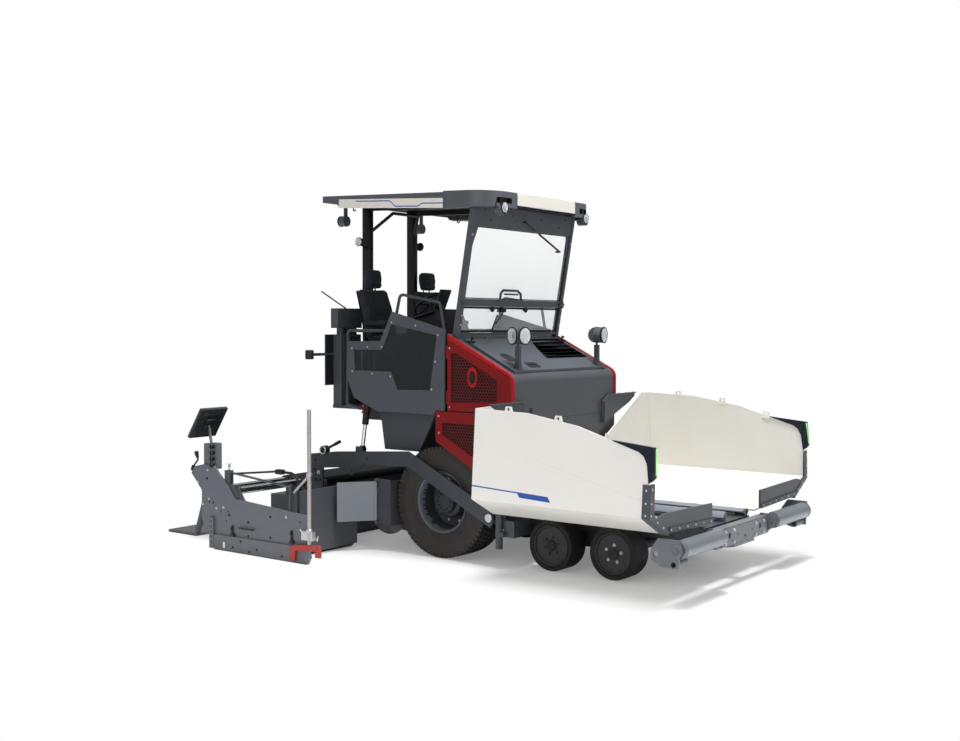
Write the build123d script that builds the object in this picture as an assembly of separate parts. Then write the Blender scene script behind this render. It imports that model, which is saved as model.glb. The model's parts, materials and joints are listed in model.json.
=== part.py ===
from build123d import *

import math
import os

# Wheeled asphalt paver: tractor with a front hopper and a roofed operator's platform, and a
# floating screed that it tows by two side arms.
# Millimetres. +X is forward, +Y is the machine's left, +Z is up. The origin is on the ground
# under the rear wheels' axle. Every piece of the left side is drawn and mirrored to the right.

# --- driving dimensions -------------------------------------------------------------------
REAR_TYRE_R = 540
REAR_TYRE_OUTER_Y = 880
REAR_TYRE_WIDTH = 365
REAR_RIM_R = 300
FRONT_TYRE_R = 235
FRONT_TYRE_OUTER_Y = 755
FRONT_TYRE_WIDTH = 255
FRONT_RIM_R = 185
FRONT_HUB_R = 51
FIXED_AXLE_X = 1184
STEER_AXLE_X = 1835
KINGPIN_Y = 560
ROCKER_PIVOT_X = 1510
ROCKER_PIVOT_Z = 400
ROCKER_PIVOT_R = 30
STUB_R = 30
RUNNING_GAP = 0.3

TUNNEL_HALF = 420
FRAME_WALL = 25
FRAME_SHEET = 20
FRAME_REAR_X = -600
TUNNEL_FRONT_X = 900
BEAM_REAR_X = 700
FRAME_FRONT_X = 2580
PUSH_PIVOT_X = FRAME_FRONT_X + 35
BEAM_HALF = 370
DECK_Z = 500
TUNNEL_TOP_Z = 740

BODY_HALF = 925
PANEL = 30
COWL_HALF = 890
HOOD_REAR_X = 100
HOOD_FRONT_X = 880
HOOD_CREST_Z = 2215
HOOD_SLOPE = 0.5
NOSE_R = 90
DOOR_BOTTOM_Z = 1435
DOOR_HINGE_X = 114
DOOR_HINGE_Y = 910
LID_REAR_X = 244
LID_FRONT_X = 828
LID_HALF = 820
LID_GAP = 5
LID_SHEET = 22
LID_HINGE_X = 228
LID_HINGE_Z = 2121
LOUVRE = 38
# x of a slot's upper edge, and its span across the lid: the field widens to one side.
LOUVRES = [(272 + i * 66, 235 - i * 42, 765) for i in range(6)]
LAMP_POST = (790, 705)
LAMP_Z = 2150
LAMP_R = 80
LOWER_COVER = [(-20, 1134), (-20, 1425), (874, 1425), (874, 760), (600, 760), (450, 880)]
LOWER_WINDOW = [(64, 1205), (64, 1318), (458, 1318), (458, 1000), (445, 1000)]

PLATFORM_Z = 1420
PLATFORM_REAR_X = -1500
DECK_PLATE = 35
ROOF_UNDERSIDE = 3450
SCREEN_HALF = 835
# Lower and upper height of each bar across the windscreen frame.
SCREEN_BARS = ((2152, 2175), (2430, 2500), (3185, 3385))
POST_Y = 365

HINGE_Y = 480
HINGE_Z = 532
HINGE_PIN_R = 14
HINGE_LUGS = (985, 1505, 2025, 2535)
WING_REAR_X = 935
WING_FRONT_X = 2652
WING_SHEET = 14
WING_TOP_Y = 1560
WING_BEND_Y = 1616
BRACKET_REAR_X = 2606
BRACKET = 76

TOW_PIN_X = 620
TOW_PIN_Z = 458
TOW_PIN_R = 32
ARM_INNER_Y = 900
ARM_PLATE = 22
VIBRATOR = (-1500, 955)

ROLLER_X = 2770
ROLLER_Z = 460
ROLLER_R = 75
SKID_X = 2740
SKID_Z = 345
SKID_R = 33
# y, z and radius of the holes in the beam's face plate.
FACE_HOLES = ((-320, 440, 26), (320, 440, 26), (-150, 430, 9), (150, 430, 9), (0, 395, 14))

AUGER_X = -800
AUGER_Z = 300
AUGER_R = 175
PLATE_HINGE = (-772, 945)
PLATE_REST_ANGLE = 128

GATE_Y = 1845
GATE_PLATE = 20
GUIDE_Z = 590
GUIDE_R = 36
GUIDE_XS = (-1760, -1880, -2000, -2120)
BASE_FRONT_X = -1500
BASE_REAR_X = -2330
BASE_HALF = 888
REACH_X = 2845
WALK_Z = 118
# x, z and radius of the holes through the end plate.
GATE_HOLES = ((-2180, 470, 12), (-2120, 466, 12), (-2010, 392, 9), (-1905, 395, 12), (-1930, 300, 9), (-900, 390, 12))

LIFT_PIVOT = (-945, 1560)
LIFT_EYE = (-1030, 990)
LIFT_Y = 850


# --- shared ways of making a solid ---------------------------------------------------------
def side_plate(outline, y_from, y_to):
    """Prism of an outline of (x, z) points between two planes across the machine."""
    wire = Polyline([(x, y_from, z) for x, z in outline], close=True)
    return extrude(make_face(wire), amount=y_to - y_from, dir=(0, 1, 0))


def cross_plate(outline, x_from, x_to):
    """Prism of an outline of (y, z) points between two planes along the machine."""
    wire = Polyline([(x_from, y, z) for y, z in outline], close=True)
    return extrude(make_face(wire), amount=x_to - x_from, dir=(1, 0, 0))


def flat_plate(outline, z_from, z_to):
    """Prism of an outline of (x, y) points between two heights."""
    wire = Polyline([(x, y, z_from) for x, y in outline], close=True)
    return extrude(make_face(wire), amount=z_to - z_from, dir=(0, 0, 1))


def block(x_from, x_to, y_from, y_to, z_from, z_to):
    """Box between two planes along each axis."""
    size = (x_to - x_from, y_to - y_from, z_to - z_from)
    return Pos((x_from + x_to) / 2, (y_from + y_to) / 2, (z_from + z_to) / 2) * Box(*size)


def rod(start, end, radius):
    """Round bar between two points."""
    run = Vector(*end) - Vector(*start)
    return Solid.make_cylinder(radius, run.length, Plane(origin=start, z_dir=run))


def cross_rod(x, z, y_from, y_to, radius):
    """Round bar across the machine at one place in its side view."""
    return rod((x, y_from, z), (x, y_to, z), radius)


def pipe(points, radius, bend):
    """Round tube through straight runs joined by arcs of one radius."""
    path = FilletPolyline(*points, radius=bend)
    return sweep(Plane(origin=path @ 0, z_dir=path % 0) * Circle(radius), path=path)


def bent_sheet(points, thickness):
    """Closed outline of a bent sheet: the points are its outer face, its wall lies on their left."""
    ahead = []
    for (u0, v0), (u1, v1) in zip(points, points[1:]):
        length = math.hypot(u1 - u0, v1 - v0)
        ahead.append(((u1 - u0) / length, (v1 - v0) / length))
    inner = []
    for i, (u, v) in enumerate(points):
        a = ahead[max(i - 1, 0)]
        b = ahead[min(i, len(ahead) - 1)]
        scale = thickness / (1 + a[0] * b[0] + a[1] * b[1])
        inner.append((u - (a[1] + b[1]) * scale, v + (a[0] + b[0]) * scale))
    return list(points) + inner[::-1]


def wheel_profile(outline, x, z):
    """Solid of revolution about a wheel's axle: the outline is (radius, y) points."""
    wire = Polyline([(x + r, y, z) for r, y in outline], close=True)
    return revolve(make_face(wire), axis=Axis((x, 0, z), (0, 1, 0)))


def right_of(shape):
    """Mirror image of a left-hand piece."""
    return mirror(shape, about=Plane.XZ)


def both_sides(*shapes):
    """Left-hand pieces with their mirror images on the right, as separate solids."""
    pieces = [*shapes, *[right_of(shape) for shape in shapes]]
    return Compound([solid for piece in pieces for solid in piece.solids()])


def fused(*shapes):
    """One solid from pieces that are welded together."""
    whole = shapes[0]
    for shape in shapes[1:]:
        whole = whole + shape
    return whole


NODES = {}


def add_pair(name, shape):
    """Keeps a left-hand node and its mirror image."""
    NODES[name + "_left"] = shape
    NODES[name + "_right"] = right_of(shape)


# --- wheels and axles -----------------------------------------------------------------------
def tyre(x, radius, bead_r, outer_y, width, shoulder):
    """Tyre ring with rounded shoulders and drawn-in beads, its outer face at outer_y."""
    inner_y = outer_y - width
    bead_in = width * 0.09
    outline = [
        (bead_r, inner_y + bead_in),
        (bead_r + shoulder, inner_y),
        (radius - shoulder, inner_y),
        (radius, inner_y + shoulder),
        (radius, outer_y - shoulder),
        (radius - shoulder, outer_y),
        (bead_r + shoulder, outer_y),
        (bead_r, outer_y - bead_in),
    ]
    return wheel_profile(outline, x, radius)


def rear_rim():
    """Deep dished drop-centre rim with the planetary hub standing in the dish."""
    outline = [
        (0, 600),
        (150, 600),
        (170, 628),
        (262, 628),
        (262, 552),
        (REAR_RIM_R - RUNNING_GAP, 552),
        (REAR_RIM_R - RUNNING_GAP, 862),
        (REAR_RIM_R - 14, 862),
        (272, 840),
        (258, 760),
        (250, 662),
        (168, 650),
        (150, 745),
        (112, 760),
        (104, 812),
        (0, 818),
    ]
    return wheel_profile(outline, 0, REAR_TYRE_R)


def front_rim(x):
    """Flat steel disc with a short barrel behind it and a bore that runs on the stub axle."""
    outer = FRONT_TYRE_OUTER_Y
    outline = [
        (STUB_R + RUNNING_GAP, outer - 80),
        (FRONT_RIM_R - 22, outer - 46),
        (FRONT_RIM_R - 22, outer - FRONT_TYRE_WIDTH + 25),
        (FRONT_RIM_R - RUNNING_GAP, outer - FRONT_TYRE_WIDTH + 25),
        (FRONT_RIM_R - RUNNING_GAP, outer - 8),
        (FRONT_RIM_R - 14, outer - 8),
        (FRONT_RIM_R - 20, outer - 28),
        (FRONT_HUB_R, outer - 28),
        (FRONT_HUB_R - 5, outer - 6),
        (STUB_R + RUNNING_GAP, outer - 2),
    ]
    return wheel_profile(outline, x, FRONT_TYRE_R)


def final_drives():
    """Hydraulic wheel motors on the frame's walls, the rear wheels' whole axle."""
    motor = cross_rod(0, REAR_TYRE_R, TUNNEL_HALF + FRAME_WALL, 520, 215)
    gearbox = cross_rod(0, REAR_TYRE_R, 520, 600 - RUNNING_GAP, 150)
    return both_sides(motor + gearbox)


def front_axles():
    """Cross tubes under the hopper: plain stubs on one, forks with kingpins on the other."""
    beam = cross_rod(FIXED_AXLE_X, FRONT_TYRE_R, -470, 470, 48)
    rocker = side_plate(
        [
            (FIXED_AXLE_X - 70, 190),
            (STEER_AXLE_X - 150, 190),
            (STEER_AXLE_X + 60, 175),
            (STEER_AXLE_X + 60, 295),
            (ROCKER_PIVOT_X + 60, 440),
            (ROCKER_PIVOT_X - 60, 440),
            (FIXED_AXLE_X - 70, 285),
        ],
        330,
        362,
    )
    stub = cross_rod(FIXED_AXLE_X, FRONT_TYRE_R, 470, FRONT_TYRE_OUTER_Y - 20, STUB_R)
    steer_beam = cross_rod(STEER_AXLE_X, FRONT_TYRE_R, -500, 500, 40)
    fork = block(STEER_AXLE_X - 45, STEER_AXLE_X + 45, 480, 600, 160, 310)
    slot = block(STEER_AXLE_X - 60, STEER_AXLE_X + 60, 510, 620, 185, 285)
    kingpin = rod((STEER_AXLE_X, KINGPIN_Y, 160), (STEER_AXLE_X, KINGPIN_Y, 318), 18)
    pivot = cross_rod(ROCKER_PIVOT_X, ROCKER_PIVOT_Z, -400, 400, ROCKER_PIVOT_R)
    one_side = (rocker, stub, fork - slot, kingpin)
    whole = fused(beam, steer_beam, pivot, *one_side)
    for piece in one_side:
        whole = whole + right_of(piece)
    return whole


def knuckle():
    """Steering knuckle: boss on the kingpin with the stub axle and a steering lever."""
    boss = rod((STEER_AXLE_X, KINGPIN_Y, 188), (STEER_AXLE_X, KINGPIN_Y, 282), 38)
    stub = cross_rod(STEER_AXLE_X, FRONT_TYRE_R, KINGPIN_Y, FRONT_TYRE_OUTER_Y - 20, STUB_R)
    flange = cross_rod(STEER_AXLE_X, FRONT_TYRE_R, 620, 660, 52)
    bore = rod((STEER_AXLE_X, KINGPIN_Y, 100), (STEER_AXLE_X, KINGPIN_Y, 400), 18 + RUNNING_GAP)
    return fused(boss, stub, flange) - bore


def build_wheels():
    """Tyres, rims, wheel motors, front axles and knuckles."""
    add_pair(
        "rear_tyre",
        tyre(0, REAR_TYRE_R, REAR_RIM_R, REAR_TYRE_OUTER_Y, REAR_TYRE_WIDTH, 48),
    )
    add_pair("rear_rim", rear_rim())
    for name, x in (("mid", FIXED_AXLE_X), ("front", STEER_AXLE_X)):
        solid_tyre = tyre(x, FRONT_TYRE_R, FRONT_RIM_R, FRONT_TYRE_OUTER_Y, FRONT_TYRE_WIDTH, 14)
        add_pair(name + "_tyre", solid_tyre)
        add_pair(name + "_rim", front_rim(x))
    NODES["final_drives"] = final_drives()
    NODES["front_axles"] = front_axles()
    add_pair("knuckle", knuckle())


# --- frame, conveyor and hopper floor ---------------------------------------------------------
def main_frame():
    """Welded tunnel box between the rear wheels, with the auger gearbox hung on its rear end."""
    wall = side_plate(
        [
            (FRAME_REAR_X, 250),
            (FRAME_REAR_X, TUNNEL_TOP_Z + FRAME_SHEET),
            (TUNNEL_FRONT_X, TUNNEL_TOP_Z + FRAME_SHEET),
            (TUNNEL_FRONT_X, 330),
            (760, 270),
        ],
        TUNNEL_HALF,
        TUNNEL_HALF + FRAME_WALL,
    )
    half = TUNNEL_HALF + 1
    deck = block(FRAME_REAR_X, TUNNEL_FRONT_X, -half, half, DECK_Z - FRAME_SHEET, DECK_Z)
    roof = block(FRAME_REAR_X, TUNNEL_FRONT_X, -half, half, TUNNEL_TOP_Z, TUNNEL_TOP_Z + FRAME_SHEET)
    belly = block(FRAME_REAR_X, BEAM_REAR_X, -half, half, 300, 315)
    gearbox_arm = block(AUGER_X - 45, FRAME_REAR_X + 30, -40, 40, 400, DECK_Z - 10)
    gearbox = block(AUGER_X - 70, AUGER_X + 70, -55, 55, AUGER_Z - 75, 440)
    return fused(wall, right_of(wall), deck, roof, belly, gearbox_arm, gearbox)


def hopper_frame():
    """Front beams under the hopper with its floor, the hinge lugs and pins, and the push tongue."""
    under_deck = DECK_Z - FRAME_SHEET
    beam = side_plate(
        [
            (BEAM_REAR_X, under_deck),
            (FRAME_FRONT_X, under_deck),
            (FRAME_FRONT_X, 370),
            (1900, 350),
            (BEAM_REAR_X, 320),
        ],
        BEAM_HALF,
        BEAM_HALF + FRAME_WALL,
    )
    beam = beam - cross_rod(ROCKER_PIVOT_X, ROCKER_PIVOT_Z, 300, 450, ROCKER_PIVOT_R)
    floor = block(TUNNEL_FRONT_X, FRAME_FRONT_X, -462, 462, under_deck, DECK_Z)
    nose = block(FRAME_FRONT_X - 60, FRAME_FRONT_X, -BEAM_HALF - 5, BEAM_HALF + 5, 370, DECK_Z - 10)
    tongue = block(FRAME_FRONT_X - 80, FRAME_FRONT_X + 52, -60, 60, 395, 425)
    pivot_hole = rod((PUSH_PIVOT_X, 0, 300), (PUSH_PIVOT_X, 0, 520), 25 + RUNNING_GAP)
    solid = fused(beam, right_of(beam), floor, nose, tongue) - pivot_hole
    for x in HINGE_LUGS:
        lug = fused(
            rod((x - 20, HINGE_Y, HINGE_Z), (x + 20, HINGE_Y, HINGE_Z), 24),
            block(x - 20, x + 20, HINGE_Y - 40, HINGE_Y, DECK_Z - 12, HINGE_Z),
        )
        solid = fused(solid, lug, right_of(lug))
    pin = rod((965, HINGE_Y, HINGE_Z), (2555, HINGE_Y, HINGE_Z), HINGE_PIN_R)
    return fused(solid, pin, right_of(pin))


def slat_conveyor():
    """Two strands of slats between their chains, running from the hopper to the augers."""
    strands = []
    for y_from in (-340, 60):
        chains = fused(
            block(FRAME_REAR_X + 20, 2500, y_from, y_from + 20, DECK_Z + 1, DECK_Z + 26),
            block(FRAME_REAR_X + 20, 2500, y_from + 260, y_from + 280, DECK_Z + 1, DECK_Z + 26),
        )
        slats = [
            block(x, x + 24, y_from, y_from + 280, DECK_Z + 1, DECK_Z + 32)
            for x in range(FRAME_REAR_X + 60, 2500, 220)
        ]
        strands.append(fused(chains, *slats))
    return Compound([solid for strand in strands for solid in strand.solids()])


def conveyor_guards():
    """Centre ridge over the inner chains and sloped guards over the outer ones."""
    ridge = cross_plate(
        [(-50, DECK_Z + 34), (-36, DECK_Z + 60), (0, DECK_Z + 90), (36, DECK_Z + 60), (50, DECK_Z + 34)],
        905,
        2560,
    )
    web = block(905, 2560, -20, 20, DECK_Z, DECK_Z + 50)
    side = cross_plate([(350, DECK_Z + 34), (350, DECK_Z + 46), (438, DECK_Z + 62), (438, DECK_Z)], 905, 2560)
    return Compound([*fused(ridge, web).solids(), *both_sides(side).solids()])


def push_beam():
    """Swivelling beam at the nose with brackets for the two push rollers and skid tubes under them."""
    beam = block(2645, 2735, -550, 550, 345, 507)
    face = cross_plate([(-470, 350), (-430, 500), (430, 500), (470, 350)], 2735, 2750)
    for y, z, radius in FACE_HOLES:
        face = face - rod((2700, y, z), (2800, y, z), radius)
    rear_x = PUSH_PIVOT_X - 27
    clevis = block(rear_x, 2650, -45, 45, 345, 390) + block(rear_x, 2650, -45, 45, 430, 475)
    pin = rod((PUSH_PIVOT_X, 0, 345), (PUSH_PIVOT_X, 0, 475), 25)
    foot = flat_plate([(2650, -330), (2650, 330), (2745, 210), (2745, -210)], 320, 346)
    whole = fused(beam, face, clevis, pin, foot)
    arm = block(2650, 2685, 540, 1330, 365, 425)
    inner = side_plate([(2645, 345), (2660, 520), (2790, 520), (2810, 470), (2790, 400), (2712, 345)], 525, 548)
    outer = side_plate(
        [(2540, 365), (2540, 460), (2600, 545), (2790, 545), (2812, 470), (2790, 400), (2785, 316), (2640, 316)],
        1322,
        1342,
    )
    outer = outer - cross_rod(2580, 415, 1300, 1360, 24)
    bore = cross_rod(ROLLER_X, ROLLER_Z, 500, 1400, 22)
    skid = cross_rod(SKID_X, SKID_Z, 1140, 1342, SKID_R) - cross_rod(SKID_X, SKID_Z, 1100, 1400, SKID_R - 10)
    hanger = side_plate([(2650, 420), (2650, 330), (2715, 311), (2765, 320), (2765, 362), (2700, 372)], 1150, 1164)
    hanger = hanger - cross_rod(SKID_X, SKID_Z, 1100, 1200, SKID_R - 10)
    outer = outer - cross_rod(SKID_X, SKID_Z, 1300, 1360, SKID_R - 10)
    for piece in (arm, inner - bore, outer - bore, skid, hanger):
        whole = fused(whole, piece, right_of(piece))
    return whole


def push_roller():
    """Roller with end journals that run in the beam's brackets."""
    drum = cross_rod(ROLLER_X, ROLLER_Z, 556, 1314, ROLLER_R)
    journal = cross_rod(ROLLER_X, ROLLER_Z, 527, 1340, 22 - RUNNING_GAP)
    return drum + journal


# --- hopper wings -------------------------------------------------------------------------------
WING_PROFILE = [(512, 534), (1300, 576), (WING_BEND_Y, 744), (WING_TOP_Y, 1528)]
# x, z points of the wing's side view, from the rear foot round to the front foot.
WING_SIDE = [
    (WING_REAR_X, 500),
    (WING_REAR_X, 1528),
    (1469, 1511),
    (1981, 1428),
    (2307, 1330),
    (2555, 1254),
    (2600, 1222),
    (2632, 1160),
    (WING_FRONT_X, 1010),
    (WING_FRONT_X - 10, 720),
    (2600, 500),
]


def wing():
    """Hopper wing: bent floor and side sheet, rear wall, hinge sleeves and lifting eyes."""
    sheet = cross_plate(bent_sheet(WING_PROFILE, WING_SHEET), WING_REAR_X, WING_FRONT_X)
    sheet = sheet & side_plate(WING_SIDE, 400, 1700)
    rear_wall = cross_plate(
        [(520, 545), (520, 1060), (1354, 1534), (1556, 1528), (1606, 746), (1296, 582)],
        WING_REAR_X,
        WING_REAR_X + WING_SHEET,
    )
    whole = sheet + rear_wall
    for x_from, x_to in ((1010, 1480), (1530, 2000), (2050, 2510)):
        sleeve = fused(
            rod((x_from, HINGE_Y, HINGE_Z), (x_to, HINGE_Y, HINGE_Z), 26),
            block(x_from, x_to, HINGE_Y, 530, HINGE_Z + 2, HINGE_Z + 14),
        )
        whole = whole + sleeve
    whole = whole - rod((900, HINGE_Y, HINGE_Z), (2700, HINGE_Y, HINGE_Z), HINGE_PIN_R + RUNNING_GAP)
    for x, z in ((1286, 1515), (1788, 1460), (2269, 1342)):
        eye = side_plate([(x - 45, z - 25), (x - 28, z + 42), (x + 28, z + 42), (x + 45, z - 25)], 1548, 1562)
        whole = whole + (eye - cross_rod(x, z + 20, 1500, 1600, 14))
    return whole


def wing_apron():
    """Bolted plate across the wing's front edge, its angle bracket up the edge, and the corner cap."""
    plate = cross_plate([(505, 566), (505, 735), (1380, 752), (1500, 724), (1300, 590)], 2654, 2674)
    strip = cross_plate([(505, 566), (505, 606), (1290, 634), (1300, 590)], 2674, 2686)
    outer_leg = cross_plate(
        [(1598, 1005), (1617, 744), (1301, 575), (1305, 567), (1626, 738), (1607, 1005)],
        BRACKET_REAR_X,
        BRACKET_REAR_X + BRACKET,
    )
    front_leg = cross_plate(
        [(1542, 990), (1552, 1012), (1606, 1012), (1626, 738), (1305, 567), (1298, 600), (1500, 724), (1556, 760)],
        BRACKET_REAR_X + BRACKET - 10,
        BRACKET_REAR_X + BRACKET,
    )
    cap = side_plate(
        [
            (2310, 1333),
            (2557, 1257),
            (2603, 1225),
            (2636, 1162),
            (2655, 1014),
            (2692, 1040),
            (2710, 1066),
            (2693, 1297),
        ],
        1500,
        1640,
    )
    cap = cap & cross_plate([(1607, 1000), (1583, 1350), (1545, 1350), (1569, 1000)], 2200, 2800)
    return fused(plate, strip, outer_leg, front_leg, cap)


# --- engine housing --------------------------------------------------------------------------------
def hood_top(x):
    """Height of the housing's sloped top."""
    return HOOD_CREST_Z - HOOD_SLOPE * x


def lid_top(x):
    """Height of the lid's outer face."""
    return hood_top(x) + LID_GAP + LID_SHEET


def rounded_along_y(solid, x, z, radius):
    """Rounds the edge that runs across the machine through (x, z)."""
    near = [e for e in solid.edges() if abs(e.center().X - x) < 1 and abs(e.center().Z - z) < 1]
    return fillet(near, radius)


def hood_cowl():
    """Sheet housing over the engine: open at the sides and top for its doors and lid."""
    half = COWL_HALF
    outline = [
        (HOOD_REAR_X, 1110),
        (HOOD_REAR_X, hood_top(HOOD_REAR_X)),
        (HOOD_FRONT_X, hood_top(HOOD_FRONT_X)),
        (HOOD_FRONT_X, 620),
        (620, 620),
        (620, 700),
        (450, 900),
        (300, 1050),
    ]
    hollow = [
        (HOOD_REAR_X + 20, 1140),
        (HOOD_REAR_X + 20, 2130),
        (830, 1775),
        (855, 1740),
        (860, 1700),
        (860, 640),
        (640, 640),
        (640, 712),
        (462, 920),
        (310, 1072),
    ]
    shell = rounded_along_y(side_plate(outline, -half, half), HOOD_FRONT_X, hood_top(HOOD_FRONT_X), NOSE_R)
    shell = shell - side_plate(hollow, -half + 20, half - 20)
    side_hole = [(170, 1470), (170, 2060), (800, 1745), (830, 1700), (830, 1470)]
    shell = shell - side_plate(side_hole, -1000, 1000)
    top_hole = block(255, 795, -LID_HALF + 40, LID_HALF - 40, 1700, 2300)
    over_frame = TUNNEL_HALF + FRAME_WALL
    tunnel = block(-700, 905, -over_frame, over_frame, 200, TUNNEL_TOP_Z + 20)
    engine_bay = block(0, 640, -500, 500, 600, 1140)
    shell = shell - top_hole - tunnel - engine_bay
    for z in (1500, 1606, 1924, 2030):
        lug = block(104, 120, COWL_HALF - 2, DOOR_HINGE_Y + 4, z, z + 16)
        shell = fused(shell, lug, right_of(lug))
    door_pin = fused(
        rod((DOOR_HINGE_X, DOOR_HINGE_Y, 1500), (DOOR_HINGE_X, DOOR_HINGE_Y, 1622), 7),
        rod((DOOR_HINGE_X, DOOR_HINGE_Y, 1924), (DOOR_HINGE_X, DOOR_HINGE_Y, 2046), 7),
    )
    shell = fused(shell, door_pin, right_of(door_pin))
    foot_z = hood_top(LID_HINGE_X + 12) - 4
    for y in (335, 451):
        lug = block(LID_HINGE_X - 12, LID_HINGE_X + 12, y, y + 14, foot_z, LID_HINGE_Z + 10)
        shell = fused(shell, lug, right_of(lug))
    lid_pin = cross_rod(LID_HINGE_X, LID_HINGE_Z, 335, 465, 6)
    return fused(shell, lid_pin, right_of(lid_pin))


def hood_lid():
    """Sloped lid over the engine with louvres, hinged along its upper edge."""
    outline = [
        (LID_REAR_X, hood_top(LID_REAR_X) + LID_GAP),
        (LID_FRONT_X, hood_top(LID_FRONT_X) + LID_GAP),
        (LID_FRONT_X, lid_top(LID_FRONT_X)),
        (LID_REAR_X, lid_top(LID_REAR_X)),
    ]
    lid = side_plate(outline, -LID_HALF, LID_HALF)
    barrel = fused(
        cross_rod(LID_HINGE_X, LID_HINGE_Z, 351, 449, 11),
        block(LID_HINGE_X, LID_REAR_X + 8, 351, 449, LID_HINGE_Z - 10, LID_HINGE_Z - 2),
    )
    barrel = barrel - cross_rod(LID_HINGE_X, LID_HINGE_Z, 300, 500, 6 + RUNNING_GAP)
    lid = fused(lid, barrel, right_of(barrel))
    for x, y_from, y_to in LOUVRES:
        slot = side_plate(
            [
                (x, hood_top(x) - 40),
                (x, hood_top(x) + 60),
                (x + LOUVRE, hood_top(x + LOUVRE) + 60),
                (x + LOUVRE, hood_top(x + LOUVRE) - 40),
            ],
            y_from,
            y_to,
        )
        blade = side_plate(
            [
                (x - 2, lid_top(x) - 3),
                (x - 2, lid_top(x)),
                (x + LOUVRE - 10, lid_top(x) + 4),
                (x + LOUVRE - 10, lid_top(x) + 1),
            ],
            y_from - 5,
            y_to + 5,
        )
        lid = lid - slot + blade
    return lid


def bonnet_lamps():
    """Pair of round lamps on a folded post at each lower corner of the lid: one ahead, one outward."""
    x, y = LAMP_POST
    foot = side_plate(
        [(x - 34, lid_top(x - 34)), (x + 30, lid_top(x + 30)), (x + 22, 1900), (x - 22, 1900)], y - 24, y + 24
    )
    post = block(x - 22, x + 22, y - 20, y + 20, 1890, 2050)
    stem = rod((x, y, 2040), (x, y, 2100), 11)
    ahead = rod((x - 5, y - 4, LAMP_Z), (x + 75, y + 8, LAMP_Z), LAMP_R)
    outward = rod((x + 4, y - 30, LAMP_Z), (x - 28, y + 50, LAMP_Z), LAMP_R)
    return both_sides(fused(foot, post, stem, ahead, outward))


def side_door():
    """Red engine door with a chamfered upper edge and a mesh window framed in its sheet."""
    gap = 4
    drop = 22
    outline = [
        (125, DOOR_BOTTOM_Z),
        (125, hood_top(125) - drop),
        (874, hood_top(874) - drop),
        (874, DOOR_BOTTOM_Z),
    ]
    window = [(170, 1515), (170, 1985), (225, 1985), (705, 1740), (705, 1535)]
    door = side_plate(outline, BODY_HALF - PANEL, BODY_HALF)
    door = rounded_along_y(door, 874, hood_top(874) - drop, NOSE_R - 10)
    rim = [
        e for e in door.edges()
        if abs(e.center().Y - BODY_HALF) < 1 and e.center().X > 130 and e.center().Z > DOOR_BOTTOM_Z + 10
    ]
    door = chamfer(rim, 18)
    door = door - side_plate(window, BODY_HALF - PANEL - gap, BODY_HALF + gap)
    door = door + mesh_panel(window, BODY_HALF - 18, BODY_HALF - 12, 76, 30)
    for z_from, z_to in ((1518, 1604), (1942, 2028)):
        sleeve = rod((DOOR_HINGE_X, DOOR_HINGE_Y, z_from), (DOOR_HINGE_X, DOOR_HINGE_Y, z_to), 12)
        bore = rod((DOOR_HINGE_X, DOOR_HINGE_Y, 1400), (DOOR_HINGE_X, DOOR_HINGE_Y, 2100), 7 + RUNNING_GAP)
        door = door + sleeve - bore
    return door


def mesh_panel(outline, y_from, y_to, pitch, hole_r):
    """Perforated steel sheet: staggered hexagonal holes inside an outline."""
    xs = [x for x, z in outline]
    zs = [z for x, z in outline]
    sheet = side_plate(outline, y_from, y_to)
    inside = offset(make_face(Polyline([(x, 0, z) for x, z in outline], close=True)), -hole_r - 10)
    row = 0
    holes = []
    z = min(zs) + hole_r
    while z < max(zs):
        x = min(xs) + hole_r + (pitch / 2 if row % 2 else 0)
        while x < max(xs):
            if inside.is_inside((x, 0, z)):
                hexagon = [
                    (x + hole_r * math.cos(math.radians(a)), z + hole_r * math.sin(math.radians(a)))
                    for a in range(30, 390, 60)
                ]
                holes.append(side_plate(hexagon, y_from - 5, y_to + 5))
            x += pitch
        z += pitch * 0.866
        row += 1
    return sheet - holes


def lower_cover():
    """Red lower cover with its mesh, cut round the rear tyre."""
    panel = side_plate(LOWER_COVER, COWL_HALF, BODY_HALF)
    panel = panel - side_plate(LOWER_WINDOW, COWL_HALF - 4, BODY_HALF + 4)
    return panel + mesh_panel(LOWER_WINDOW, BODY_HALF - 18, BODY_HALF - 12, 76, 30)


def corner_flap():
    """Folded sheet that closes the corner between the hopper's rear wall and the housing."""
    plate = cross_plate([(650, 1250), (650, 1480), (760, 1545), (1300, 1545), (1300, 1505), (1180, 1440)], 892, 902)
    top = block(892, 926, 760, 1300, 1535, 1545)
    inner = block(892, 926, 650, 660, 1250, 1480)
    arm = block(HOOD_FRONT_X, 893, 655, 700, 1300, 1460)
    return fused(plate, top, inner, arm)


# --- operator's platform ---------------------------------------------------------------------------
def tank_body():
    """Closed tanks and pumps over the tunnel between the rear wheels."""
    return side_plate([(-600, 760), (-600, 1385), (100, 1385), (100, 760)], -480, 480)


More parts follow.
